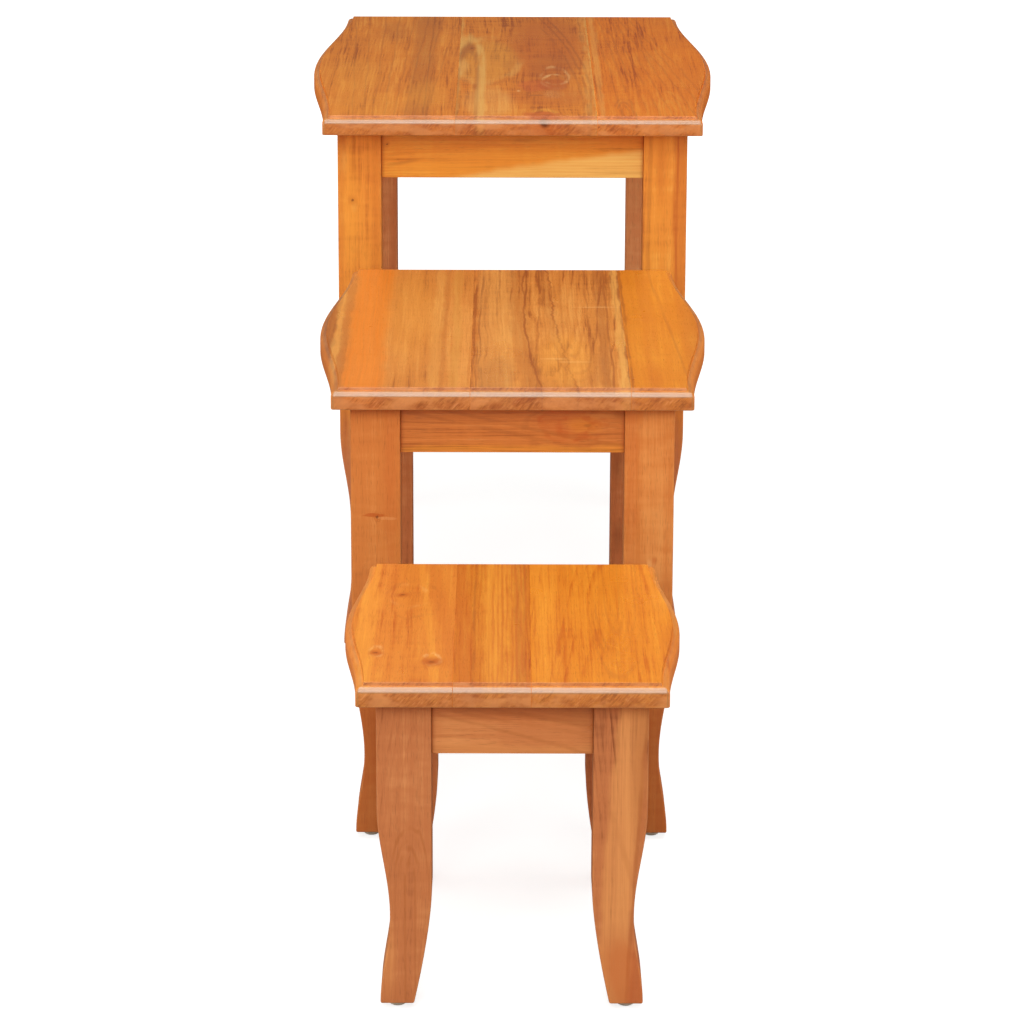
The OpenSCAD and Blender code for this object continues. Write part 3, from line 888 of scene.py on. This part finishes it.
# The boards of the tops, each as its own plank
BOARD_WOODS = {
    "large_left": dict(
        wood=CHESTNUT, pith=(-70, -60), seed=1.0, waviness=8, ring_width=5, rings=0.1, bands=0.45,
        streaks=0.24, fibres=0.85,
        marks=(
            patch(-116, 190, 15, 70, BROWN, 0.25, soft=9), streak(-79, 0.7, CRACK, 0.5, soft=0.6, wander=3),
            streak(-84, 14, BROWN, 0.42, soft=10, wander=4),
            *(streak(-150 + 12 * i, 0.5, DARK_LINE, 0.35, slant=0.01 * i - 0.03, soft=1.2, gaps=0.5)
              for i in range(8)),
            patch(-146, -80, 26, 120, GOLD, 0.3, soft=14), patch(-80, -180, 20, 90, GOLD, 0.35, soft=12),
            patch(-130, -230, 34, 60, GOLD, 0.3, soft=14))),
    "large_centre": dict(
        wood=CHESTNUT, pith=(30, -30), seed=2.4, waviness=22, ring_width=5, rings=0.35, bands=0.5,
        streaks=0.34, fibres=0.7, ripples=0.3,
        marks=(
            patch(34, 90, 38, 230, REDDISH, 0.6, soft=16), patch(30, -180, 40, 60, REDDISH, 0.35, soft=14),
            patch(38, -50, 24, 110, BROWN, 0.25, soft=12),
            patch(-25, 15, 32, 126, OLIVE, 0.35, soft=7, wander=0.2),
            patch(-25, 10, 29, 118, GOLD, 0.3, soft=8, wander=0.2),
            loop(-25, 15, 32, 126, 2.2, SAPWOOD, 0.5, soft=5),
            loop(-25, 15, 36, 136, 0.8, BROWN, 0.35, soft=2.5, wander=0.2),
            patch(-4, -14, 7, 30, BROWN, 0.3), patch(-22, -215, 24, 84, STRAW, 0.32, soft=9),
            streak(-53, 5, SAPWOOD, 0.7, soft=4, wander=3), patch(-53, -200, 6, 110, GOLD, 0.6, soft=4),
            loop(-43, -30, 14, 158, 3.4, SAPWOOD, 1.0, soft=4, opened=1.0),
            patch(-48, -20, 7, 46, STRAW, 0.5, soft=5),
            loop(-42, -40, 9, 126, 1.6, BROWN, 0.6, soft=3, wander=0.3, opened=1.0),
            patch(-47, 52, 4, 34, BROWN, 0.5, soft=4), patch(-33, -206, 1.5, 58, SAPWOOD, 0.7, soft=2),
            patch(-35, -136, 2.4, 18, BROWN, 0.6, soft=2), patch(-36, -190, 1.2, 36, BROWN, 0.4, soft=2),
            streak(66, 1.2, DARK_LINE, 0.5, slant=-0.064, bend=-0.19, soft=1.5, wander=4, gaps=0.6),
            streak(60, 1.0, DARK_LINE, 0.45, slant=-0.07, bend=-0.17, soft=1.5, wander=4, gaps=0.8),
            streak(53, 1.0, DARK_LINE, 0.4, slant=-0.08, bend=-0.15, soft=1.5, wander=5, gaps=0.9),
            patch(20, -130, 16, 34, RED_SPOT, 0.6, wander=1.0),
            loop(39, -84, 13, 58, 0.7, PALE, 0.45, wander=0.5),
            loop(40, -95, 11, 26, 1.6, PALE, 0.75, wander=0.3),
            patch(37, -124, 15, 33, REDDISH, 0.75, soft=4, wander=0.6),
            patch(22, -180, 8, 4, BROWN, 0.6, slant=0.4, soft=2),
            patch(37, -175, 9, 24, FADED_GOLD, 0.35, soft=5), patch(5.5, -157, 1.6, 5, PALE, 0.8, soft=1.5),
            patch(26, -276, 18, 12, RED_SPOT, 0.65, soft=4), loop(27, -284, 13, 30, 2.2, GOLD, 0.7, soft=3),
            streak(70, 3, SAPWOOD, 0.3, soft=4, wander=9, gaps=0.7),
            streak(76, 3, SAPWOOD, 0.7, soft=2.5, wander=3), knot(-40, 84, 2.6, 2.4, core=0.5),
            knot(28, -288.5, 6.5, 1.0, depth=11, core=0.95, stain=0.5))),
    "large_right": dict(
        wood=RUSSET, pith=(140, -36), seed=3.9, taper=-0.09, dip=0.05, ring_width=5, waviness=7, rings=0.1,
        bands=0.4, streaks=0.24, fibres=0.85,
        marks=(
            streak(80, 3, SAPWOOD, 0.4, soft=3, wander=3),
            patch(160, 20, 20, 200, DEEP_ORANGE, 0.2, soft=10),
            *(streak(90 + 8 * i, 0.6, DARK_LINE, 0.27, slant=-0.03 - 0.01 * i, soft=1.6, wander=9, gaps=0.7)
              for i in range(9)),
            *arches(100, -270, 10, 70, 3, DARK_LINE, 0.3, width=0.8),
            *arches(140, -250, 14, 90, 3, GOLD, 0.4, width=1.2))),
    "middle_left": dict(
        wood=HONEY, pith=(-80, -200), seed=4.2, rings=0.1, ring_width=7, bands=0.3, streaks=0.35,
        fibres=0.45,
        marks=(
            streak(-118, 22, DEEP_ORANGE, 0.7, soft=10, wander=3),
            streak(-152, 13, BROWN, 0.9, soft=3, wander=3), streak(-46, 4, OLIVE, 0.45, soft=4, wander=5),
            streak(-56, 1.4, BROWN, 0.25, soft=2.5, wander=5),
            streak(-62, 5, SAPWOOD, 0.3, soft=4, wander=4), streak(-143, 4, SAPWOOD, 0.5, soft=3, wander=4),
            streak(-137, 4, BROWN, 0.45, soft=3, wander=5, gaps=0.4),
            patch(-84, 40, 22, 190, GOLD, 0.25, soft=14))),
    "middle_centre": dict(
        wood=HONEY, pith=(30, -24), seed=5.1, dip=0.02, waviness=16, ring_width=3.6, rings=0.5, bands=0.4,
        streaks=0.4, fibres=0.7, ripples=0.15,
        marks=(
            streak(-27, 14, REDDISH, 0.18, slant=-0.04, soft=8, wander=5),
            patch(-12, -170, 16, 60, BROWN, 0.4), streak(-34, 0.8, CRACK, 0.6, soft=1),
            streak(-14, 24, STRAW, 0.22, soft=6, wander=4),
            streak(6, 9, BROWN, 0.35, slant=-0.028, bend=0.13, soft=6, wander=9, kinks=0.4),
            streak(10, 0.7, DARK_LINE, 0.9, slant=-0.028, bend=0.13, soft=1, wander=9, kinks=0.5, gaps=0.3),
            streak(33, 5, BROWN, 0.25, slant=-0.045, bend=0.1, soft=4, wander=11, kinks=0.6),
            streak(36, 0.7, DARK_LINE, 0.85, slant=-0.045, bend=0.1, soft=1, wander=11, kinks=0.8, gaps=0.5),
            streak(22, 0.6, DARK_LINE, 0.45, slant=0.02, soft=1, wander=8, kinks=0.4, gaps=0.8),
            streak(62, 0.6, DARK_LINE, 0.5, soft=1.2, kinks=0.3, gaps=0.7),
            streak(74, 4, BROWN, 0.5, soft=4), streak(79, 0.7, DARK_LINE, 0.8, soft=1, wander=5, gaps=0.3),
            streak(94, 5, BROWN, 0.6, soft=3, wander=7, kinks=0.6, gaps=0.3),
            streak(91, 0.9, DARK_LINE, 0.8, soft=1, kinks=0.7, gaps=0.3),
            patch(68, -150, 12, 60, BROWN, 0.3), streak(88, 4, SAPWOOD, 0.7, soft=3, wander=4),
            patch(72, 66, 20, 1.6, PALE, 0.5, slant=3, soft=1.5, wander=1.5),
            patch(50, -128, 14, 2.2, PALE, 0.5, slant=0.6, soft=1.5, wander=1.5),
            patch(34, -118, 12, 3, PALE, 0.5, slant=-0.5, soft=2, wander=1.5),
            patch(42, -120, 24, 90, GOLD, 0.4, soft=10), knot(36, 70, 1.8, 2.2, core=0.5),
            *arches(46, -20, 24, -170, 5, DARK_LINE, 0.25, slant=-0.03))),
    "middle_right": dict(
        wood=TANGERINE, pith=(100, -200), seed=6.0, rings=0.1, ring_width=8, bands=0.25, streaks=0.3,
        fibres=0.35,
        marks=(
            streak(93.5, 1.2, DARK_LINE, 0.7, soft=1.2, wander=3, kinks=0.5, gaps=0.5),
            streak(112, 5, REDDISH, 0.22, soft=5, wander=5, gaps=0.5),
            streak(128, 0.8, DARK_LINE, 0.3, slant=-0.05, soft=1.5, gaps=0.7),
            streak(150, 12, REDDISH, 0.3, soft=8))),
    "small_left": dict(
        wood=SMALL_LEFT_ORANGE, pith=(-60, -50), seed=7.9, rings=0.4, ring_width=4.5, bands=0.25,
        streaks=0.38, fibres=0.5,
        marks=(
            streak(-50, 6, REDDISH, 0.3, slant=-0.08, soft=5, wander=5),
            streak(-62, 2, GOLD, 0.4, slant=-0.05, soft=3, wander=4),
            knot(-82, 62, 2.6, 1.0, core=0.5, stain=0.7), knot(-98, -78, 2.2, 1.2, core=0.5, stain=0.7),
            knot(-57, -98, 3.4, 1.2, core=0.35, stain=0.8),
            loop(-57, -92, 6, 13, 0.8, PALE, 0.5, soft=1.6, wander=1.2),
            loop(-97, -74, 5, 11, 0.7, PALE, 0.4, soft=1.6, wander=1.2),
            loop(-76, 60, 14, 30, 0.6, PALE, 0.2, soft=1.6, wander=1.0),
            loop(-74, 52, 19, 50, 0.6, DARK_LINE, 0.22, soft=1.6, wander=0.9),
            streak(-106, 8, GOLD, 0.5, soft=6, wander=5))),
    "small_centre": dict(
        wood=SMALL_CENTRE_ORANGE, pith=(0, -60), seed=8.2, ring_width=5, rings=0.3, bands=0.2, streaks=0.4,
        fibres=0.7,
        marks=(
            streak(-36, 6, REDDISH, 0.4, slant=-0.02, soft=5, wander=5),
            streak(4, 2.5, BROWN, 0.4, soft=2.5, kinks=0.4, gaps=0.4),
            streak(9, 1, DARK_LINE, 0.4, soft=1.5, wander=5, kinks=0.4, gaps=0.5),
            streak(-28, 0.8, DARK_LINE, 0.5, soft=1.2, wander=5, gaps=0.7),
            streak(-12, 12, GOLD, 0.5, soft=6), streak(3, 9, GOLD, 0.2, soft=5, wander=4),
            *(streak(-14 + 3.4 * i, 0.6, REDDISH, 0.5, soft=1, wander=4, kinks=0.2, gaps=0.7)
              for i in range(8)))),
    "small_right": dict(
        wood=TANGERINE, pith=(78, -20), seed=9.7, rings=0.35, ring_width=4, taper=0.04, dip=-0.05,
        waviness=8, bands=0.15, streaks=0.3, fibres=0.7,
        marks=(
            streak(24, 14, GOLD, 0.3, soft=6, wander=4), streak(38, 3, REDDISH, 0.15, soft=4, wander=4),
            patch(118, -60, 12, 60, REDDISH, 0.35, soft=8), patch(112, 60, 10, 60, GOLD, 0.35, soft=8),
            *arches(76, 60, 22, -190, 6, DARK_LINE, 0.25))),
}
LEG_WOODS = {
    # This leg is painted lighter in place of light it does not get
    "large_rear_right": dict(wood=REAR_PAINTED_LIGHT_ROSE),
    "large_front_left": dict(
        wood=LEG_ORANGE, rings=0.2,
        marks=(
            knot(-6, 176, 1.6, 1.2), patch(-5, 170, 3, 5, SAPWOOD, 0.5, soft=3),
            patch(-14, 213, 4, 14, SAPWOOD, 0.7), patch(-15, 233, 5, 10, REDDISH, 0.5),
            patch(-8, 172, 10, 60, GOLD, 0.5), streak(-17, 4, REDDISH, 0.3, soft=3, wander=5),
            streak(16, 5, REDDISH, 0.3, soft=5, wander=5),
            # Painted shade on the lower part of the leg
            patch(0, -160, 70, 140, LOW_PAINTED_SHADE_ROSE, 0.75, soft=40))),
    "large_front_right": dict(
        wood=LEG_ORANGE, rings=0.2,
        marks=(
            streak(14, 9, REDDISH, 0.5, soft=4, wander=5), streak(-12, 10, GOLD, 0.25, soft=5),
            streak(-14, 1.6, BROWN, 0.4, gaps=0.6), patch(-4, 202, 5, 26, REDDISH, 0.35, soft=4),
            streak(11, 0.8, REDDISH, 0.7, soft=1.2, wander=3, gaps=0.3),
            # Painted shade on the lower part of the leg
            patch(0, -160, 70, 140, LOW_PAINTED_SHADE_ROSE, 0.75, soft=40))),
    "middle_front_left": dict(
        wood=LEG_RUST, rings=0.12,
        marks=(
            knot(1, 88, 2, 0.8, core=0.7), patch(-1, 88.5, 9, 1.6, REDDISH, 0.9, soft=2, wander=1.6),
            patch(9, 86, 8, 1.2, PALE, 0.3, slant=-0.4, soft=2, wander=1.8),
            # The first patch is painted shade on the lower part of the leg
            patch(0, -125, 70, 100, LOW_SHADE_AND_RUST_TONE, 0.6, soft=35), streak(12, 5, REDDISH, 0.3, soft=4, wander=5))),
    "middle_front_right": dict(
        wood=LEG_RUST, rings=0.12,
        marks=(
            streak(-14, 4, REDDISH, 0.35, soft=4, wander=5), patch(2, 20, 6, 40, FADED_GOLD, 0.35),
            patch(5, 52, 2.5, 3, REDDISH, 0.6, soft=2), patch(1, 49, 2, 4, PALE, 0.4, soft=2),
            # Painted shade on the lower part of the leg
            patch(0, -125, 70, 100, LOW_SHADE_AND_RUST_TONE, 0.6, soft=35))),
    "middle_rear_right": dict(
        marks=(
            patch(-13, -37, 6, 16, END_FLECK, 0.45, soft=5),
            patch(-14, 28, 5, 14, END_FLECK, 0.35, soft=5))),
    "small_front_left": dict(
        wood=LEG_BROWN, pith=(6, -16), taper=0.1, dip=0.1, rings=0.4,
        marks=(
            *arches(4, -20, 14, 40, 4, BROWN, 0.45, wander=0.6),
            patch(-12, -80, 6, 26, FADED_GOLD, 0.4, soft=5))),
    "small_front_right": dict(
        wood=LEG_BROWN, pith=(30, -30), taper=-0.12, rings=0.4,
        marks=(
            streak(0, 16, FADED_GOLD, 0.85, slant=0.06, bend=0.3, soft=6),
            patch(14, 60, 7, 60, BROWN, 0.45),
            streak(12, 1, BROWN, 0.5, slant=0.05, soft=1.5, wander=8, gaps=0.6),
            patch(8, -95, 16, 30, REDDISH, 0.4, slant=-0.2), patch(0, -90, 22, 36, LOW_SHADE_AND_RUST_TONE, 0.3, soft=10),
            streak(4, 1.2, BROWN, 0.18, slant=-0.35, bend=-1, soft=3, wander=9, gaps=0.8))),
}
APRON_WOODS = {
    "large_front": dict(
        wood=APRON_GOLD, rings=0.25, bands=0.7, streaks=0.5, fibres=0.45,
        marks=(
            patch(14, -20, 8, 130, REDDISH, 0.3), patch(-6, 10, 12, 110, GOLD, 0.5, slant=0.05),
            streak(-31, 30, SAP_PALE, 1.0, slant=0.15, soft=7, wander=2),
            patch(-8, -95, 2, 16, BROWN, 0.5, slant=0.2, soft=2), patch(12, 10, 2, 12, BROWN, 0.4, soft=2),
            patch(-13, -60, 6, 50, GOLD, 0.5, soft=4), knot(8, -112, 1.2, 1.0))),
    "middle_front": dict(
        wood=LEG_RUST, rings=0.3, bands=0.6, streaks=0.55, fibres=0.5,
        marks=(
            patch(6, 40, 15, 24, REDDISH, 0.45, wander=0.9), patch(4, 56, 7, 14, GOLD, 0.5, wander=0.9),
            loop(2, 50, 9, 14, 1.6, REDDISH, 0.6, soft=2.5, wander=1.4),
            loop(4, 46, 14, 25, 1.2, REDDISH, 0.5, soft=2.5, wander=1.3),
            loop(2, 44, 18, 36, 0.8, BROWN, 0.35, wander=1.2), patch(12, 84, 4, 8, BROWN, 0.6, soft=4),
            streak(4, 1, BROWN, 0.4, slant=-0.2, gaps=0.7),
            streak(-4, 1, BROWN, 0.4, slant=-0.22, gaps=0.7), streak(-18, 5, GOLD, 0.5, soft=5, wander=5),
            knot(3, 58, 2, 2.5, core=0.3))),
    "small_front": dict(
        wood=APRON_BROWN, rings=0.2,
        marks=(
            # The reddish and brown patches near the top edge are a tone of the wood and partly painted shade
            # below the top
            patch(12, -20, 10, 60, REDDISH, 0.3, slant=-0.1),
            streak(-18, 6, FADED_GOLD, 0.5, soft=5, wander=4),
            patch(13, 36, 8, 50, BROWN, 0.5, slant=-0.12),
            streak(10, 1.5, BROWN, 0.45, slant=-0.12, soft=3, wander=8),
            streak(4, 0.8, BROWN, 0.35, slant=-0.2, wander=9, kinks=0.3, gaps=0.7),
            streak(-4, 0.8, BROWN, 0.3, slant=-0.28, wander=9, kinks=0.3, gaps=0.8),
            streak(12, 0.8, BROWN, 0.2, slant=-0.26, bend=0.3, wander=9, kinks=0.3, gaps=0.8))),
}


# Every leg and apron has a seed of its own for its grain
FIRST_LEG_SEED = 20.0
LEG_SEED_STEP = 2.3
FIRST_APRON_SEED = 60.0
APRON_SEED_STEP = 1.1


def build_tops():
    for table in TABLES:
        size = top_sizes(table)
        origin = Vector((0, size["place"], size["under"]))
        for which in ("left", "centre", "right"):
            key = f"{table}_{which}"
            # The sides of each board's moulding get painted shade from side_shade_from outwards
            material = wood_material(f"{key}_board", "Y", depth=size["thick"], polish=1.0,
                                     side_shade_from=size["half_corner"] - SIDE_SHADE_BAND,
                                     side_shade_below=EDGE_FACE + NOSE_R, **BOARD_WOODS[key])
            make_piece(f"{table}_top_board_{which}", f"{table}_table", board_mesh(table, which),
                       material, origin=origin)


def build_legs():
    seed = FIRST_LEG_SEED
    for table in TABLES:
        for end, end_name in ((-1, "front"), (1, "rear")):
            for side, side_name in ((-1, "left"), (1, "right")):
                seed += LEG_SEED_STEP
                node = f"{table}_leg_{end_name}_{side_name}"
                plain = dict(wood=SHADED_BROWN, pith=(40 * side, 50), ring_width=3.6, rings=0.3, seed=seed,
                             waviness=8, streaks=0.3, fibres=0.24, ripples=0.22)
                looks = dict(plain, **LEG_WOODS.get(f"{table}_{end_name}_{side_name}", {}))
                low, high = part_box(node)
                # under is where the painted shade below the top starts
                material = wood_material(f"{node}_wood", "Z", depth=(low.y - high.y) / 2,
                                         under=(high.z - low.z) / 2, **looks)
                sockets = mortises(low, high, f"{table}_apron_{end_name}", end, side)
                make_piece(node, f"{table}_table", leg_mesh(table, low, high, side), material,
                           sockets)


def build_aprons():
    seed = FIRST_APRON_SEED
    for table in TABLES:
        for name in ("front", "rear", "left", "right"):
            seed += APRON_SEED_STEP
            along_y = name in ("left", "right")
            node = f"{table}_apron_{name}"
            low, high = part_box(node)
            plain = dict(wood=LEG_RUST, pith=(60, 50), ring_width=3.8, rings=0.3, seed=seed, waviness=10)
            looks = dict(plain, **APRON_WOODS.get(f"{table}_{name}", {}))
            long = high.y - low.y if along_y else high.x - low.x
            # under and shoulders place the painted shade below the top and at the shoulders
            material = wood_material(f"{node}_wood", "Y" if along_y else "X", depth=(low.y - high.y) / 2,
                                     under=(high.z - low.z) / 2, shoulders=long / 2 - TENON_L, **looks)
            make_piece(node, f"{table}_table", apron_mesh(low, high, along_y), material)


# Small parts keep their CAD shapes

BLOCK_WOOD = (srgb(218, 184, 136), srgb(204, 164, 112), srgb(158, 108, 62))
SCREW_STEEL = srgb(196, 196, 190)
NAIL_STEEL = srgb(150, 150, 150)
DULLED_STEEL = 0.7
GLIDE_GREY = srgb(214, 214, 208)
GLIDE_DIRT = srgb(168, 164, 154)
SCUFF_HEIGHT = 1.6 * MM


def sawn_wood():
    """Bare sawn softwood of the corner blocks, with saw marks across the grain."""
    material, tree, shader = new_material("sawn_wood")
    position = add(tree, "TexCoord").outputs["Object"]
    grain = use_group(TIMBER, {"Position": position, "Pith": (0.02, 0.03, 0), "Ring width": 0.003,
                               "Waviness": 0.004, "Seed": 61.0})
    colour = wood_colour(grain, BLOCK_WOOD, {"Rings": 0.6})
    marks = noise(position, (30, 30, 600), 8.0, 2.0)
    rough = ramp(marks, 0.3, 0.7, 0.62, 0.85)
    bump = add(tree, "Bump", {"Strength": 0.6, "Distance": 0.0004, "Height": marks})
    set_inputs(shader, {"Base Color": colour, "Roughness": rough, "Normal": bump.outputs["Normal"]})
    return material


def plated_steel(name, colour, roughness):
    """Steel with fine turning lines and dulled patches."""
    dulled = tuple(DULLED_STEEL * part for part in colour[:3]) + (1,)
    material, tree, shader = new_material(name)
    position = add(tree, "TexCoord").outputs["Object"]
    dull = noise(position, (300, 300, 300), 3.0, 3.0)
    lines = noise(position, (200, 200, 5000), 5.0, 1.0)
    tone = blend(ramp(dull, 0.4, 0.7), colour, dulled)
    rough = ramp(dull, 0.3, 0.75, roughness, roughness + 0.25)
    bump = add(tree, "Bump", {"Strength": 0.25, "Distance": 0.0001, "Height": lines})
    set_inputs(shader, {"Base Color": tone, "Roughness": rough, "Normal": bump.outputs["Normal"],
                        "Metallic": 1.0})
    return material


def glide_plastic():
    """Pale plastic of the glides, scuffed and dusty under the foot."""
    material, tree, shader = new_material("glide_plastic")
    position = add(tree, "TexCoord").outputs["Object"]
    scuff = noise(position, (260, 260, 500), 4.0, 4.0, 0.65)
    low = ramp(split(position)["Z"], 0.0, SCUFF_HEIGHT, 1.0, 0.25)
    worn = times(ramp(scuff, 0.42, 0.66), low)
    tone = blend(worn, GLIDE_GREY, GLIDE_DIRT)
    rough = ramp(scuff, 0.3, 0.7, 0.38, 0.6)
    bump = add(tree, "Bump", {"Strength": 0.3, "Distance": 0.0002, "Height": scuff})
    set_inputs(shader, {"Base Color": tone, "Roughness": rough, "Normal": bump.outputs["Normal"]})
    return material


def dress_small_parts():
    finishes = {"corner_blocks": sawn_wood(), "block_screws": plated_steel("screw_steel", SCREW_STEEL, 0.3),
                "glides": glide_plastic(), "glide_nails": plated_steel("nail_steel", NAIL_STEEL, 0.4)}
    for table in TABLES:
        for part, material in finishes.items():
            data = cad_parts[f"{table}_{part}"].data
            data.materials.clear()
            data.materials.append(material)


# Camera, floor and light

CAMERA_PLACE = (-0.005, -3.2765, 1.1154)
CAMERA_PITCH = math.radians(16)
CAMERA_YAW = math.radians(0.093)
CAMERA_ROLL = math.radians(0.17)
FOCAL_PIXELS = 3896
IMAGE_PIXELS = 1024
SENSOR = 36
VIEW_END = 50
FLOOR_COLOUR = (0.52, 0.56, 0.57, 1)
# What the floor throws back on the tables is warm, so that no grey shine lies along the wood
FLOOR_BOUNCE = (0.5, 0.38, 0.26, 1)
FLOOR_LIFT = 0.74
FLOOR_REACH = 40
# The floor is pure white from this far out, so that its edge is not seen
WHITE_START = 1.0
WHITE_FROM = 3.0
WALL_LIGHT = 0.10
CEILING_LIGHT = 0.6
WALL_TOP = 0.3
CEILING_START = 0.9
ROOM_WHITE = (1.0, 0.985, 0.96, 1)
WHITE = (1, 1, 1, 1)
FRONT_WARMTH = (1.0, 0.98, 0.95)
FILL_WARMTH = (1.0, 0.95, 0.88)
FILL_POWER = 20


def build_camera():
    data = bpy.data.cameras.new("camera")
    data.sensor_width = SENSOR
    data.lens = FOCAL_PIXELS * SENSOR / IMAGE_PIXELS
    data.clip_end = VIEW_END
    camera = bpy.data.objects.new("camera", data)
    bpy.context.scene.collection.objects.link(camera)
    forward = Vector((math.sin(CAMERA_YAW), math.cos(CAMERA_YAW), 0))
    ahead = math.cos(CAMERA_PITCH) * forward - Vector((0, 0, math.sin(CAMERA_PITCH)))
    level = Vector((forward.y, -forward.x, 0))
    up = level.cross(ahead)
    right = math.cos(CAMERA_ROLL) * level + math.sin(CAMERA_ROLL) * up
    up = math.cos(CAMERA_ROLL) * up - math.sin(CAMERA_ROLL) * level
    turn = Matrix((right, up, -ahead)).transposed().to_4x4()
    camera.matrix_world = Matrix.Translation(CAMERA_PLACE) @ turn
    bpy.context.scene.camera = camera


def build_floor():
    """A wide pale floor that looks white where it is lit and keeps the soft shadow."""
    mesh = bmesh.new()
    bmesh.ops.create_grid(mesh, x_segments=1, y_segments=1, size=FLOOR_REACH)
    floor = loose_object(mesh, "floor")
    material = bpy.data.materials.new("floor_white")
    material.use_nodes = True
    tree = material.node_tree
    tree.nodes.clear()
    seen = add(tree, "LightPath").outputs["Is Camera Ray"]
    plain = add(tree, "BsdfDiffuse", {"Color": FLOOR_COLOUR})
    warm = add(tree, "BsdfDiffuse", {"Color": FLOOR_BOUNCE})
    away = vector_calc("LENGTH", add(tree, "TexCoord").outputs["Object"])
    lift = ramp(away, WHITE_START, WHITE_FROM, FLOOR_LIFT, 1.0)
    glow = add(tree, "Emission", {"Color": WHITE, "Strength": lift})
    both = add(tree, "AddShader", {0: plain.outputs[0], 1: glow.outputs[0]})
    mixed = add(tree, "MixShader", {0: seen, 1: warm.outputs[0], 2: both.outputs[0]})
    output = add(tree, "OutputMaterial")
    tree.links.new(mixed.outputs[0], output.inputs["Surface"])
    floor.data.materials.append(material)


def build_world():
    """White behind the object; on the object a plain room, brighter above than at the walls."""
    world = bpy.data.worlds.new("studio")
    bpy.context.scene.world = world
    world.use_nodes = True
    tree = world.node_tree
    tree.nodes.clear()
    seen = add(tree, "LightPath").outputs["Is Camera Ray"]
    upward = split(add(tree, "TexCoord").outputs["Generated"])["Z"]
    level = ramp(upward, WALL_TOP, CEILING_START, WALL_LIGHT, CEILING_LIGHT)
    room = add(tree, "Background", {"Color": ROOM_WHITE, "Strength": level})
    white = add(tree, "Background", {"Color": WHITE, "Strength": 1.0})
    mixed = add(tree, "MixShader", {0: seen, 1: room.outputs[0], 2: white.outputs[0]})
    output = add(tree, "OutputWorld")
    tree.links.new(mixed.outputs[0], output.inputs["Surface"])


def area_lamp(name, place, target, size, power, colour=(1, 1, 1)):
    data = bpy.data.lights.new(name, "AREA")
    data.shape = "RECTANGLE"
    data.size, data.size_y = size
    data.energy = power
    data.color = colour
    lamp = bpy.data.objects.new(name, data)
    bpy.context.scene.collection.objects.link(lamp)
    lamp.location = place
    lamp.rotation_mode = "QUATERNION"
    lamp.rotation_quaternion = (Vector(target) - Vector(place)).to_track_quat("-Z", "Y")


def build_lamps():
    area_lamp("front_softbox", place=(-0.4, -4.6, 2.5), target=(0, 0, 0.25), size=(3.8, 2.9), power=136,
              colour=FRONT_WARMTH)
    area_lamp("long_top_softbox", place=(0, -1.2, 2.5), target=(0, -0.9, 0), size=(1.2, 3.4), power=44)
    for name, side in (("right_fill", 1), ("left_fill", -1)):
        area_lamp(name, place=(2.6 * side, -0.6, 0.7), target=(0, -0.1, 0.35), size=(2.4, 0.9),
                  power=FILL_POWER, colour=FILL_WARMTH)


build_tops()
build_legs()
build_aprons()
dress_small_parts()
build_camera()
build_floor()
build_world()
build_lamps()
bpy.context.scene.view_settings.view_transform = "Standard"
